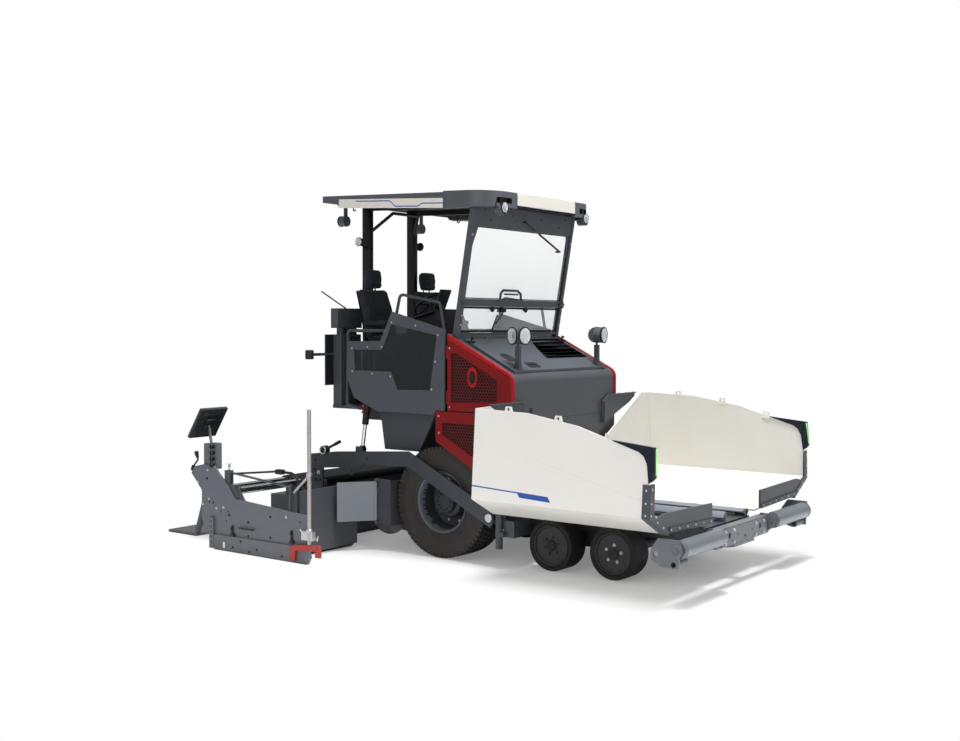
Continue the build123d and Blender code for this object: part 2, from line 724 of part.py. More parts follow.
def platform_deck():
    """Chequered floor with its brackets down to the frame beside the rear wheels."""
    outline = [
        (HOOD_REAR_X, COWL_HALF),
        (-24, COWL_HALF),
        (-24, 895),
        (-800, 895),
        (-800, 790),
        (PLATFORM_REAR_X, 790),
        (PLATFORM_REAR_X, -790),
        (-800, -790),
        (-800, -895),
        (-24, -895),
        (-24, -COWL_HALF),
        (HOOD_REAR_X, -COWL_HALF),
    ]
    deck = flat_plate(outline, PLATFORM_Z - DECK_PLATE, PLATFORM_Z)
    bracket = side_plate([(-850, 1390), (-130, 1390), (-340, 1000), (-790, 1000)], 750, 780)
    tie = block(-780, -601, 740, 781, 1010, 1060) + block(-640, -600, 440, 760, 1010, 1060)
    stay = block(-1500, -600, 300, 330, 1240, 1390)
    ear = fused(
        block(LIFT_PIVOT[0] - 45, LIFT_PIVOT[0] + 45, 788, 812, PLATFORM_Z - 30, LIFT_PIVOT[1] + 40),
        cross_rod(*LIFT_PIVOT, 800, 885, 16),
    )
    whole = deck
    for piece in (bracket, tie, stay, ear):
        whole = fused(whole, piece, right_of(piece))
    return whole


SIDE_PANEL = [
    (-1167, 2082),
    (-730, 2090),
    (-579, 2379),
    (86, 2205),
    (86, 1430),
    (-24, 1430),
    (-50, 1388),
    (-768, 1388),
    (-1085, 1515),
    (-1175, 1709),
]
SIDE_WINDOW = [
    (-1080, 2000),
    (-705, 2000),
    (-580, 2255),
    (-10, 2150),
    (-95, 1620),
    (-505, 1612),
    (-590, 1788),
    (-1068, 1792),
]


def side_panel():
    """Grey side panel of the platform, cut out for its window."""
    panel = side_plate(SIDE_PANEL, 895, 920)
    return panel - side_plate(SIDE_WINDOW, 880, 940)


def screen_x(z):
    """Centre of the windscreen, which leans forward as it rises."""
    return 191 + (z - 2220) * (368 - 191) / (3250 - 2220)


def glazing():
    """Tinted side windows and the windscreen's upper and lower panes."""
    side = side_plate(SIDE_WINDOW, 903, 911)
    panes = []
    for z_from, z_to in ((2175, 2430), (2500, 3185)):
        x_from = screen_x(z_from)
        x_to = screen_x(z_to)
        panes.append(
            side_plate(
                [(x_from - 5, z_from), (x_to - 5, z_to), (x_to + 5, z_to), (x_from + 5, z_from)],
                -SCREEN_HALF,
                SCREEN_HALF,
            )
        )
    return Compound([*both_sides(side).solids(), *[s for pane in panes for s in pane.solids()]])


def screen_bar(z_from, z_to, half):
    """Bar across the windscreen frame, square to the screen's lean."""
    outline = [
        (screen_x(z_from) - 22, z_from),
        (screen_x(z_to) - 22, z_to),
        (screen_x(z_to) + 22, z_to),
        (screen_x(z_from) + 22, z_from),
    ]
    return side_plate(outline, -half, half)


def roof_frame():
    """Rear posts, the windscreen frame that carries the roof's front, and the beams between them."""
    foot_x = screen_x(2130)
    top_x = screen_x(ROOF_UNDERSIDE)
    post = side_plate(
        [
            (foot_x - 28, hood_top(foot_x - 28)),
            (top_x - 28, ROOF_UNDERSIDE),
            (top_x + 28, ROOF_UNDERSIDE),
            (foot_x + 28, hood_top(foot_x + 28)),
        ],
        SCREEN_HALF,
        SCREEN_HALF + 43,
    )
    bars = [screen_bar(*bar, SCREEN_HALF + 43) for bar in SCREEN_BARS]
    header = block(345, 405, -SCREEN_HALF, SCREEN_HALF, 3384, ROOF_UNDERSIDE)
    rear_post = block(-1445, -1335, POST_Y - 30, POST_Y + 30, PLATFORM_Z, ROOF_UNDERSIDE)
    foot = block(-1475, -1315, POST_Y - 55, POST_Y + 55, PLATFORM_Z, PLATFORM_Z + 18)
    brace = pipe([(-1395, 392, 2560), (-1395, 560, 3040), (-1395, 800, 3370), (-1395, 800, ROOF_UNDERSIDE)], 18, 30)
    beam = block(-1340, 346, POST_Y - 22, POST_Y + 22, 3400, ROOF_UNDERSIDE)
    lamp = rod((-1390, 445, 3120), (-1390, 503, 3120), 42)
    lamp_arm = rod((-1390, 392, 3060), (-1390, 470, 3090), 9)
    rear = fused(rear_post, foot, brace, beam, lamp, lamp_arm)
    return fused(post, right_of(post), *bars, header, rear, right_of(rear))


def handrails():
    """Tube guard beside the seats and the grab rail over the side panel."""
    guard = pipe(
        [(-673, 857, 2190), (-1215, 857, 2190), (-1230, 857, 1440), (-1060, 857, 1402), (-1060, 790, 1402)],
        17,
        24,
    )
    guard_foot = block(-690, -655, 850, 895, 2172, 2208)
    grab = pipe([(-560, 872, 2340), (-507, 872, 2550), (-7, 872, 2465), (45, 872, 2190)], 15, 45)
    grab_feet = block(-580, -540, 865, 895, 2310, 2350) + block(25, 65, 865, 895, 2150, 2200)
    return both_sides(fused(guard, guard_foot), fused(grab, *grab_feet.solids()))


def seat():
    """Operator's seat on its box: cushion, back and headrest in one soft outline."""
    box = block(-1120, -820, 330, 570, PLATFORM_Z, 2030)
    cushion = side_plate([(-1190, 2030), (-1170, 2130), (-700, 2165), (-670, 2120), (-690, 2030)], 225, 675)
    back = side_plate([(-1190, 2060), (-1320, 2620), (-1240, 2650), (-1060, 2140), (-1080, 2060)], 235, 665)
    head = side_plate([(-1290, 2600), (-1310, 2820), (-1190, 2840), (-1180, 2610)], 340, 560)
    return fused(box, cushion, back, head)


def rear_cabinet():
    """Locker at the platform's rear corner, its instrument box, back panel, lamp arm and aerial."""
    locker = block(-1500, -1385, 480, 780, PLATFORM_Z, 2150)
    top = block(-1500, -1400, 450, 815, 2215, 2420)
    neck = block(-1490, -1410, 520, 740, 2149, 2216)
    panel = block(-1515, -1499, 560, 892, 1624, 2149)
    arm = cross_rod(-1508, 1945, 700, 1110, 15)
    lamp = rod((-1508, 1120, 1900), (-1508, 1120, 1990), 42)
    aerial = rod((-1480, 600, 2415), (-1490, 960, 2590), 7)
    return both_sides(fused(locker, neck, top, panel, arm, lamp, aerial))


def console():
    """Driving console with its sloped desk, column and steering wheel."""
    desk = [(-420, PLATFORM_Z), (-560, 2200), (-620, 2330), (-300, 2420), (-180, 2200), (-160, PLATFORM_Z)]
    pedestal = side_plate(desk, -560, -160)
    column = rod((-470, -350, 2340), (-566, -350, 2463), 22)
    ring = revolve(Pos(165, 0, 0) * (Plane.XZ * RegularPolygon(15, 6)), axis=Axis.Z)
    wheel = Pos(-565, -350, 2462) * Rot(0, -38, 0) * ring
    spokes = Pos(-565, -350, 2462) * Rot(0, -38, 0) * Box(330, 26, 14)
    return fused(pedestal, column, wheel, spokes)


# --- roof -----------------------------------------------------------------------------------------
def roof_outline(half, rear_x, front_x, corner):
    """Plan of the roof, with its front corners rounded."""
    plan = Pos((rear_x + front_x) / 2, 0, 0) * Rectangle(front_x - rear_x, 2 * half)
    front_corners = plan.vertices().sort_by(Axis.X)[-2:]
    return fillet(front_corners, corner)


def roof_shell():
    """Moulded roof: rounded front corners, a hollow underside and a crowned top."""
    low = Pos(0, 0, 3452) * roof_outline(930, -1500, 630, 280)
    high = Pos(0, 0, 3545) * roof_outline(860, -1440, 560, 240)
    rim = extrude(Pos(0, 0, 3400) * roof_outline(930, -1500, 630, 280), amount=52)
    shell = loft([low, high]) + rim
    hollow = extrude(Pos(0, 0, 3395) * roof_outline(880, -1450, 580, 150), amount=ROOF_UNDERSIDE - 3395)
    corner = extrude(
        Pos(0, 0, 3350) * (roof_outline(934, -1500, 640, 285) - roof_outline(900, -1600, 606, 255)), amount=165
    )
    keep = block(77, 700, 512, 1000, 3300, 3600) + block(77, 700, -1000, -512, 3300, 3600)
    pocket = block(560, 700, 600, 790, 3388, 3440)
    corner = (corner & keep) - pocket - right_of(pocket)
    return shell - hollow - pocket - right_of(pocket) + corner


def roof_trim():
    """White panels on the roof's long sides, lower towards the front, and across its front."""
    strip = side_plate([(-1269, 3430), (-1262, 3517), (75, 3450), (75, 3356), (-600, 3392)], 931, 940)
    front = cross_plate([(-508, 3380), (-508, 3490), (-260, 3502), (260, 3502), (508, 3490), (508, 3380)], 630, 644)
    return Compound([*both_sides(strip).solids(), *front.solids()])


def roof_lamps():
    """Work lamps under the roof's front corners and on the rear posts."""
    front = rod((560, 720, 3330), (640, 720, 3330), 55) + block(585, 605, 700, 740, 3330, 3452)
    rear = rod((-1450, 620, 3330), (-1530, 620, 3330), 55) + block(-1480, -1460, 600, 640, 3330, 3452)
    return [front, rear, right_of(front), right_of(rear)]


# --- auger and tunnel plates -----------------------------------------------------------------------
def auger():
    """Shaft with half-turn flights, each a tilted half disc that meets the next at its rim."""
    pitch = 260
    tilt = math.degrees(math.atan(pitch / 4 / AUGER_R))
    start_y = 110
    whole = cross_rod(AUGER_X, AUGER_Z, 56, 860, 38)
    half = Pos(0, AUGER_R / 2 + 1, 0) * Box(2 * AUGER_R + 4, AUGER_R + 2, 40)
    half_disc = Pos(0, 0, -6) * (Cylinder(AUGER_R, 12) & half)
    for i in range(6):
        flight = Rot(-90, 0, 0) * (Rot(0, 0, 180 * i) * (Rot(0, tilt, 0) * half_disc))
        whole = whole + Pos(AUGER_X, start_y + pitch / 4 + i * pitch / 2, AUGER_Z) * flight
    return whole


def tunnel_plate():
    """Hinged plate that guides the mix out to the extension, swung out and back."""
    run = block(8, 385, -10, 10, 300, 690)
    sleeve = Solid.make_cylinder(20, 390, Plane(origin=(0, 0, 300)))
    bore = Solid.make_cylinder(12 + RUNNING_GAP, 500, Plane(origin=(0, 0, 250)))
    return Pos(*PLATE_HINGE, 0) * Rot(0, 0, PLATE_REST_ANGLE) * (fused(run, sleeve) - bore)


def channel_front():
    """Fixed front plate of the augers' channel, its side return and the hinge pin at its edge."""
    front = block(FRAME_REAR_X, FRAME_REAR_X + 12, TUNNEL_HALF + FRAME_WALL, 932, 260, 700)
    side = block(-744, FRAME_REAR_X + 12, 920, 932, 270, 715)
    x, y = PLATE_HINGE
    ears = block(x - 12, -730, 920, y + 10, 270, 294) + block(x - 12, -730, 920, y + 10, 696, 715)
    pin = rod((x, y, 270), (x, y, 715), 12)
    return fused(front, side, *ears.solids(), pin)


# --- screed ------------------------------------------------------------------------------------------
def tow_arm():
    """Side arm cut from plate, from the tow pin to the foot bolted on the screed."""
    outline = [
        (-1700, 905),
        (-1327, 951),
        (-370, 1013),
        (596, 553),
        (660, 500),
        (670, 430),
        (625, 366),
        (-370, 863),
        (-960, 840),
        (-1115, 720),
        (-1290, 790),
        (-1520, 770),
        (-1520, 480),
        (-1660, 480),
        (-1700, 700),
    ]
    plate = side_plate(outline, ARM_INNER_Y, ARM_INNER_Y + ARM_PLATE)
    plate = plate - cross_rod(TOW_PIN_X, TOW_PIN_Z, 880, 940, TOW_PIN_R + RUNNING_GAP)
    lift_pin = cross_rod(*LIFT_EYE, 812, ARM_INNER_Y + 1, 12)
    lift_ear = side_plate([(-1085, 930), (-1075, 1020), (-985, 1020), (-975, 940)], ARM_INNER_Y - 8, ARM_INNER_Y + 1)
    motor = cross_rod(*VIBRATOR, ARM_INNER_Y - 20, ARM_INNER_Y + ARM_PLATE + 18, 46)
    lever = rod((VIBRATOR[0] + 30, 926, VIBRATOR[1] + 10), (VIBRATOR[0] + 215, 926, VIBRATOR[1] + 95), 13)
    return fused(plate, lift_pin, lift_ear, motor, lever)


def tow_bracket():
    """Outrigger from the frame with the tow pin and the upright levelling cylinder."""
    beam = block(760, 880, TUNNEL_HALF + FRAME_WALL, 890, 290, 445)
    arm = block(590, 770, 860, 888, 400, 520)
    pin = cross_rod(TOW_PIN_X, TOW_PIN_Z, 870, 936, TOW_PIN_R)
    cylinder = rod((725, 910, 180), (725, 910, 520), 34)
    clamp = block(700, 790, 860, 940, 300, 340)
    return both_sides(fused(beam, arm, pin, cylinder, clamp))


def screed_base():
    """Main screed: heated sole, box frame, crown joint cover and guide tubes for the extensions."""
    sole = side_plate(
        [(BASE_FRONT_X, 60), (BASE_FRONT_X, 430), (BASE_REAR_X, 430), (BASE_REAR_X, 0), (BASE_FRONT_X - 60, 0)],
        -BASE_HALF,
        BASE_HALF,
    )
    side = block(-1680, -1510, BASE_HALF - 20, ARM_INNER_Y, 380, 640)
    whole = fused(sole, side, right_of(side))
    for x in GUIDE_XS:
        bore = cross_rod(x, GUIDE_Z, -1000, 1000, GUIDE_R + RUNNING_GAP)
        housing = cross_rod(x, GUIDE_Z, -BASE_HALF, BASE_HALF, 52) - bore
        saddle = block(x - 30, x + 30, -840, 840, 425, GUIDE_Z - 45)
        whole = fused(whole, housing, saddle)
    return whole


def walkway():
    """Chequered catwalk and its kick plate behind the main screed."""
    plank = block(-REACH_X, BASE_REAR_X, -BASE_HALF, BASE_HALF, WALK_Z - 50, WALK_Z - 25)
    lip = block(-REACH_X, -REACH_X + 20, -BASE_HALF, BASE_HALF, WALK_Z - 80, WALK_Z - 49)
    stay = block(-2700, BASE_REAR_X, 700, 730, WALK_Z - 80, WALK_Z - 49)
    return fused(plank, lip, stay, right_of(stay))


def extension(rod_places):
    """Extending screed: front wall, heated sole, end frame with its clamp and the guide rods."""
    front_x = -1055
    wall = block(front_x - 15, front_x, 905, GATE_Y, 40, 650)
    sole = side_plate([(-1460, 0), (-1460, 330), (front_x - 10, 330), (front_x - 10, 60), (front_x - 70, 0)], 905, GATE_Y)
    end_frame = side_plate(
        [
            (-2230, 520),
            (-2420, WALK_Z - 27),
            (-REACH_X, WALK_Z - 27),
            (-REACH_X, WALK_Z),
            (-2440, WALK_Z),
            (-2280, 560),
            (-2190, 660),
            (-1840, 660),
            (-1700, 470),
            (-1460, 440),
            (-1460, 300),
            (-1500, 300),
            (-1620, 330),
            (-1800, 520),
        ],
        1790,
        GATE_Y,
    )
    catwalk = block(-REACH_X, -2400, 905, GATE_Y, WALK_Z - 25, WALK_Z)
    clamp = block(-1975, -1905, 1790, GATE_Y, 640, 800)
    tie_rod = rod((-1940, 1815, 780), (-1062, 1815, 700), 11)
    tie_foot = block(-1085, front_x, 1800, 1830, 640, 725)
    rods = [cross_rod(x, GUIDE_Z, 700, 1800, GUIDE_R) for x in rod_places]
    ends = [block(x - 50, x + 50, 1770, GATE_Y, GUIDE_Z - 48, GUIDE_Z + 48) for x in rod_places]
    return fused(wall, sole, end_frame, catwalk, clamp, tie_rod, tie_foot, *rods, *ends)


def end_gate():
    """End plate with its slotted rear post, its ski, and the bumper at the ski's toe."""
    outline = [
        (-2297, 300),
        (-2295, 577),
        (-2455, 743),
        (-2400, 812),
        (-2250, 844),
        (-2110, 836),
        (-1958, 692),
        (-1809, 530),
        (-798, 457),
        (-784, 160),
        (-2245, 150),
    ]
    outer = GATE_Y + GATE_PLATE
    plate = side_plate(outline, GATE_Y, outer)
    for x, z, radius in GATE_HOLES:
        plate = plate - cross_rod(x, z, GATE_Y - 5, outer + 5, radius)
    ski = side_plate(
        [(-2090, 0), (-2130, 60), (-2120, 152), (-800, 162), (-760, 70), (-800, 0)], GATE_Y, GATE_Y + 40
    )
    post = block(-2160, -2100, outer, outer + 24, 10, 320)
    for i in range(5):
        post = post - cross_rod(-2130, 70 + i * 52, outer - 5, outer + 30, 9)
    bumper = side_plate(
        [
            (-985, 26),
            (-985, 150),
            (-930, 178),
            (-620, 205),
            (-600, 190),
            (-600, 88),
            (-655, 86),
            (-662, 146),
            (-918, 124),
            (-925, 26),
        ],
        GATE_Y + 40,
        GATE_Y + 68,
    )
    return fused(plate, ski, post, bumper)


def screed_control():
    """Control post on the end plate with its column of knobs and the tilted screen behind it."""
    post = block(-2280, -2190, GATE_Y - 62, GATE_Y + 2, 760, 1050)
    box = block(-2190, -2095, GATE_Y - 72, GATE_Y - 8, 800, 1060)
    knobs = [cross_rod(-2142, 838 + i * 62, GATE_Y - 10, GATE_Y + 12, 19) for i in range(4)]
    neck = rod((-2235, GATE_Y - 60, 1040), (-2412, GATE_Y - 170, 1242), 15)
    screen = side_plate([(-2531, 1103), (-2332, 1398), (-2308, 1382), (-2507, 1087)], GATE_Y - 345, GATE_Y)
    return fused(post, box, *knobs, neck, screen)


def sensor_pole():
    """Round aluminium sensor pole in its clamp, with the brace to the front wall."""
    x, y = -742, GATE_Y + GATE_PLATE + 34
    pole = rod((x, y, 200), (x, y, 1460), 19)
    clamp = block(x - 100, x + 45, GATE_Y + GATE_PLATE, y + 8, 235, 318)
    brace = rod((x, y - 6, 850), (-1039, GATE_Y - 40, 652), 13)
    return fused(pole, clamp, brace)


# --- lift cylinders ---------------------------------------------------------------------------------
def lift_point(distance):
    """Point on the line from the lift cylinder's pivot to its eye."""
    run_x = LIFT_EYE[0] - LIFT_PIVOT[0]
    run_z = LIFT_EYE[1] - LIFT_PIVOT[1]
    length = math.hypot(run_x, run_z)
    return (LIFT_PIVOT[0] + run_x * distance / length, LIFT_Y, LIFT_PIVOT[1] + run_z * distance / length)


def lift_barrel():
    eye = cross_rod(*LIFT_PIVOT, LIFT_Y - 18, LIFT_Y + 18, 30)
    barrel = rod(lift_point(20), lift_point(320), 34)
    bore = rod(lift_point(45), lift_point(330), 20 + RUNNING_GAP)
    return fused(eye, barrel) - bore - cross_rod(*LIFT_PIVOT, 780, 900, 16 + RUNNING_GAP)


def lift_rod():
    length = math.hypot(LIFT_EYE[0] - LIFT_PIVOT[0], LIFT_EYE[1] - LIFT_PIVOT[1])
    bar = rod(lift_point(290), lift_point(length - 30), 20)
    eye = cross_rod(*LIFT_EYE, LIFT_Y - 16, LIFT_Y + 16, 40) - cross_rod(*LIFT_EYE, 800, 900, 26)
    return fused(bar, eye)


def build_all():
    """Makes every node."""
    build_wheels()
    NODES["main_frame"] = main_frame()
    NODES["hopper_frame"] = hopper_frame()
    NODES["channel_fronts"] = both_sides(channel_front())
    NODES["slat_conveyor"] = slat_conveyor()
    NODES["conveyor_guards"] = conveyor_guards()
    NODES["push_beam"] = push_beam()
    add_pair("push_roller", push_roller())
    add_pair("wing", wing())
    add_pair("wing_apron", wing_apron())
    NODES["drive_block"] = block(200, 780, -440, 440, TUNNEL_TOP_Z + 20, 1560)
    NODES["hood_cowl"] = hood_cowl()
    NODES["hood_lid"] = hood_lid()
    NODES["bonnet_lamps"] = bonnet_lamps()
    add_pair("side_door", side_door())
    NODES["lower_covers"] = both_sides(lower_cover())
    NODES["corner_flaps"] = both_sides(corner_flap())
    NODES["tank_body"] = tank_body()
    NODES["platform_deck"] = platform_deck()
    NODES["side_panels"] = both_sides(side_panel())
    NODES["glazing"] = glazing()
    NODES["roof_frame"] = roof_frame()
    NODES["handrails"] = handrails()
    NODES["seats"] = both_sides(seat())
    NODES["rear_cabinets"] = rear_cabinet()
    NODES["console"] = console()
    NODES["roof_shell"] = fused(roof_shell(), *roof_lamps())
    NODES["roof_trim"] = roof_trim()
    add_pair("auger", auger())
    add_pair("tunnel_plate", tunnel_plate())
    NODES["tow_arms"] = both_sides(tow_arm())
    NODES["tow_brackets"] = tow_bracket()
    NODES["screed_base"] = screed_base() + walkway()
    NODES["extension_left"] = extension((-1760, -2000))
    NODES["extension_right"] = right_of(extension((-1880, -2120)))
    add_pair("end_gate", fused(end_gate(), screed_control(), sensor_pole()))
    NODES["lift_barrels"] = both_sides(lift_barrel())
    NODES["lift_rods"] = both_sides(lift_rod())


build_all()
os.makedirs("parts", exist_ok=True)
for node, shape in NODES.items():
    solids = shape.solids()
    export_step(solids[0] if len(solids) == 1 else Compound(solids), f"parts/{node}.step")
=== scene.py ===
import json
import math

import bmesh
import bpy
from mathutils import Matrix, Quaternion, Vector

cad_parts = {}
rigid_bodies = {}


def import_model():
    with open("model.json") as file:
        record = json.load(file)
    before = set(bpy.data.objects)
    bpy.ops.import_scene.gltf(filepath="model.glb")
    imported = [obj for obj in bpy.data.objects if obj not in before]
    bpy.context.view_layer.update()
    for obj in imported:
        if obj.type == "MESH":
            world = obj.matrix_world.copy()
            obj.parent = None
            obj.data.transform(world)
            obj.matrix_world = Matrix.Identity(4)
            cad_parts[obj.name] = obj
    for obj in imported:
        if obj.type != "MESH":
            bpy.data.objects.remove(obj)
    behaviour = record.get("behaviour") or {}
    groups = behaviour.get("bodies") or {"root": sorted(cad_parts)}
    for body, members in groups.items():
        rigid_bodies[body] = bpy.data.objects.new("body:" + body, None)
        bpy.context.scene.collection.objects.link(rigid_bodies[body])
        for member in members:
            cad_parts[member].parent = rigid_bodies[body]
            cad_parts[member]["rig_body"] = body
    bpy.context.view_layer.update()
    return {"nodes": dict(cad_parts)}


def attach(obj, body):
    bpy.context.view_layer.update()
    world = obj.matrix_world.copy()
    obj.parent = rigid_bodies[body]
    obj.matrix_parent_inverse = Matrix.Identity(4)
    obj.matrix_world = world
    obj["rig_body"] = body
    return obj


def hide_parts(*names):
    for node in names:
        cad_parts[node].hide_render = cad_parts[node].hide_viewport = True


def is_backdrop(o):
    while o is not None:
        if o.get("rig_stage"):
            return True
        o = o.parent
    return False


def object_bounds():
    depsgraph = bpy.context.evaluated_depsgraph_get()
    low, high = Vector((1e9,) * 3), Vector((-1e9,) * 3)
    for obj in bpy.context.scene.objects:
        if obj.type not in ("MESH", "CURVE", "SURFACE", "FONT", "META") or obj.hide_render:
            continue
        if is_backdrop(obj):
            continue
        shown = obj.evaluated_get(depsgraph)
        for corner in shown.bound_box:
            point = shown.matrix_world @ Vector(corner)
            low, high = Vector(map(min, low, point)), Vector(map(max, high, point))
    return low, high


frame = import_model()
nodes = frame["nodes"]

# --- View -------------------------------------------------------------------------------------
# The paver is looked at from its front right corner, from about a standing person's eye height,
# with a long lens and almost level.
EYE = (7.102, -9.773, 2.250)
HEADING = math.radians(36.681)
TILT = math.radians(2.197)
ROLL = math.radians(0.108)

bpy.ops.object.camera_add(location=EYE)
camera = bpy.context.object
level_way = Vector((math.sin(HEADING), -math.cos(HEADING), 0))
toward_eye = level_way * math.cos(TILT) + Vector((0, 0, math.sin(TILT)))
camera.rotation_mode = "QUATERNION"
camera.rotation_quaternion = (-toward_eye).to_track_quat("-Z", "Y") @ Quaternion((0, 0, 1), ROLL)
camera.data.lens = 44.52
bpy.context.scene.camera = camera
bpy.context.scene.view_settings.view_transform = "Standard"


# --- Studio -----------------------------------------------------------------------------------
# A white floor that runs out into a white backdrop, a bright overcast sky, and three soft boxes:
# the key high overhead, a large one on the machine's right side and a smaller one before its nose.
def linear(code, shade=1.0):
    """A colour written as six hexadecimal digits, as the shader's linear red, green and blue."""
    levels = [int(code[i:i + 2], 16) / 255 for i in (0, 2, 4)]
    curved = [c / 12.92 if c <= 0.04045 else ((c + 0.055) / 1.055) ** 2.4 for c in levels]
    return (*[c * shade for c in curved], 1.0)


def wire_up(tree, kind, settings=None, links=None, output=0):
    """Adds a node, applies its settings, then gives each named socket its value or its link."""
    made = tree.nodes.new(kind)
    for key, value in (settings or {}).items():
        setattr(made, key, value)
    for key, value in (links or {}).items():
        if isinstance(value, Value):
            tree.links.new(value.socket, made.inputs[key])
        else:
            made.inputs[key].default_value = value
    return Value(tree, made.outputs[output])


class Value:
    """A shader socket that adds, subtracts, multiplies and divides as a number does."""

    def __init__(self, tree, socket):
        self.tree = tree
        self.socket = socket

    def maths(self, operation, *terms):
        return wire_up(self.tree, "ShaderNodeMath", {"operation": operation}, dict(enumerate(terms)))

    def __add__(self, other):
        return self.maths("ADD", self, other)

    def __sub__(self, other):
        return self.maths("SUBTRACT", self, other)

    def __rsub__(self, other):
        return self.maths("SUBTRACT", other, self)

    def __mul__(self, other):
        return self.maths("MULTIPLY", self, other)

    def __truediv__(self, other):
        return self.maths("DIVIDE", self, other)

    def __abs__(self):
        return self.maths("ABSOLUTE", self)

    def over(self, edge, blur=0.001):
        """1 where the value is above an edge, 0 where it is below."""
        limits = {"Value": self - edge, "From Min": -blur, "From Max": blur}
        return wire_up(self.tree, "ShaderNodeMapRange", {"interpolation_type": "SMOOTHSTEP"}, limits)

    __radd__ = __add__
    __rmul__ = __mul__


class Finish:
    """One surface of the machine: a Principled shader and what varies over it."""

    def __init__(self, name, code, roughness, **constants):
        self.material = bpy.data.materials.new(name)
        self.material.use_nodes = True
        self.tree = self.material.node_tree
        self.shader = self.tree.nodes["Principled BSDF"]
        self.feed(Base_Color=linear(code), Roughness=roughness, **constants)

    def node(self, kind, settings=None, links=None, output=0):
        return wire_up(self.tree, kind, settings, links, output)

    def feed(self, **sockets):
        for key, value in sockets.items():
            socket = self.shader.inputs[key.replace("_", " ")]
            if isinstance(value, Value):
                self.tree.links.new(value.socket, socket)
            else:
                socket.default_value = value

    def place(self, stretch=(1, 1, 1)):
        point = self.node("ShaderNodeTexCoord", output="Object")
        return self.node("ShaderNodeMapping", links={"Vector": point, "Scale": stretch})

    def axis(self, which):
        return self.node("ShaderNodeSeparateXYZ", links={0: self.place()}, output=which)

    def noise(self, scale, detail=3.0, stretch=(1, 1, 1)):
        links = {"Vector": self.place(stretch), "Scale": scale, "Detail": detail}
        return self.node("ShaderNodeTexNoise", links=links)

    def mix(self, below, above, share):
        """Blends two colours, each a socket or six digits."""
        below, above = [linear(c) if isinstance(c, str) else c for c in (below, above)]
        return self.node("ShaderNodeMix", {"data_type": "RGBA"}, {0: share, 6: below, 7: above}, 2)

    def bump(self, height, distance, strength=1.0):
        links = {"Height": height, "Distance": distance, "Strength": strength}
        self.feed(Normal=self.node("ShaderNodeBump", links=links))


FLOOR_REACH = 60
FOOTPRINT = (2.8, 1.15, 0)
FADE_OVER = 0.5

bpy.ops.object.select_all(action="DESELECT")
bpy.ops.mesh.primitive_plane_add(size=2 * FLOOR_REACH, location=(0, 0, -0.001))
floor = bpy.context.object
floor.name = "studio_floor"
paper = Finish("floor_paper", "f4f4f4", 0.9)


def vector_step(operation, *terms, output=0):
    """One step of vector arithmetic in the floor's material."""
    return paper.node("ShaderNodeVectorMath", {"operation": operation}, dict(enumerate(terms)), output)


ground = paper.node("ShaderNodeTexCoord", output="Object")
beyond = vector_step("SUBTRACT", vector_step("ABSOLUTE", ground), FOOTPRINT)
reach = vector_step("LENGTH", vector_step("MAXIMUM", beyond, (0, 0, 0)), output="Value")
seen = paper.node("ShaderNodeLightPath", output="Is Camera Ray")
fade = paper.node("ShaderNodeMapRange", links={"Value": reach, "From Max": FADE_OVER, "To Min": 0.2})
white = paper.node("ShaderNodeEmission", links={"Color": (1, 1, 1, 1), "Strength": 1.0})
lit = Value(paper.tree, paper.shader.outputs[0])
far = paper.node("ShaderNodeMixShader", links={0: fade * seen, 1: lit, 2: white})
paper.tree.links.new(far.socket, paper.tree.nodes["Material Output"].inputs["Surface"])
floor.data.materials.append(paper.material)
floor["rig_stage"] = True

world = bpy.data.worlds.new("overcast")
bpy.context.scene.world = world
world.use_nodes = True
sky = world.node_tree
SKY_LIGHT = 0.46
seen, passed = [
    wire_up(sky, "ShaderNodeLightPath", output=f"Is {ray} Ray") for ray in ("Camera", "Transmission")]
level = seen.maths("MAXIMUM", seen, passed) * (1 - SKY_LIGHT) + SKY_LIGHT
sky.links.new(level.socket, sky.nodes["Background"].inputs["Strength"])
sky.nodes["Background"].inputs["Color"].default_value = (1, 1, 1, 1)

for name, spot, aim, size, watts in (
    ("key_box", (2.0, -0.6, 9.5), (0.3, 0, 1.0), 2.4, 1150),
    ("side_box", (1.0, -9.0, 5.5), (0.6, 0, 1.2), 6.0, 175),
    ("front_box", (9.0, -1.0, 5.0), (1.0, 0, 1.2), 4.0, 105),
):
    bpy.ops.object.light_add(type="AREA", location=spot)
    lamp = bpy.context.object
    lamp.name = name
    lamp.data.size = size
    lamp.data.energy = watts
    lamp.rotation_euler = (Vector(spot) - Vector(aim)).to_track_quat("Z", "Y").to_euler()


# --- Welded frame, tanks and axle beams -------------------------------------------------------
# Bent and welded steel plate in dark grey enamel. A copy of each stands in its place, with the
# plate edges broken as a fabricator grinds them before painting.
def enamel(name, code, roughness=0.38, grain=0.05):
    """Sprayed enamel on steel: slightly uneven gloss, orange peel, and dust that settles low down."""
    finish = Finish(name, code, roughness, Specular_IOR_Level=0.3)
    cloud = finish.noise(2.2, 4)
    fine = finish.noise(38, 2)
    low = 1 - finish.axis(2).over(0.32, 0.34)
    base = finish.mix(linear(code, 1 - 2 * grain), linear(code, 1 + 2 * grain), cloud)
    finish.painted = finish.mix(base, "8d857a", low * fine * 0.16)
    gloss = cloud * 0.14 + fine * 0.08 + low * 0.12 + (roughness - 0.1)
    finish.feed(Base_Color=finish.painted, Roughness=gloss)
    finish.bump(finish.noise(420, 1), 0.0004, 0.12)
    return finish


def alone(piece):
    """Leaves one piece selected and active."""
    bpy.ops.object.select_all(action="DESELECT")
    piece.select_set(True)
    bpy.context.view_layer.objects.active = piece


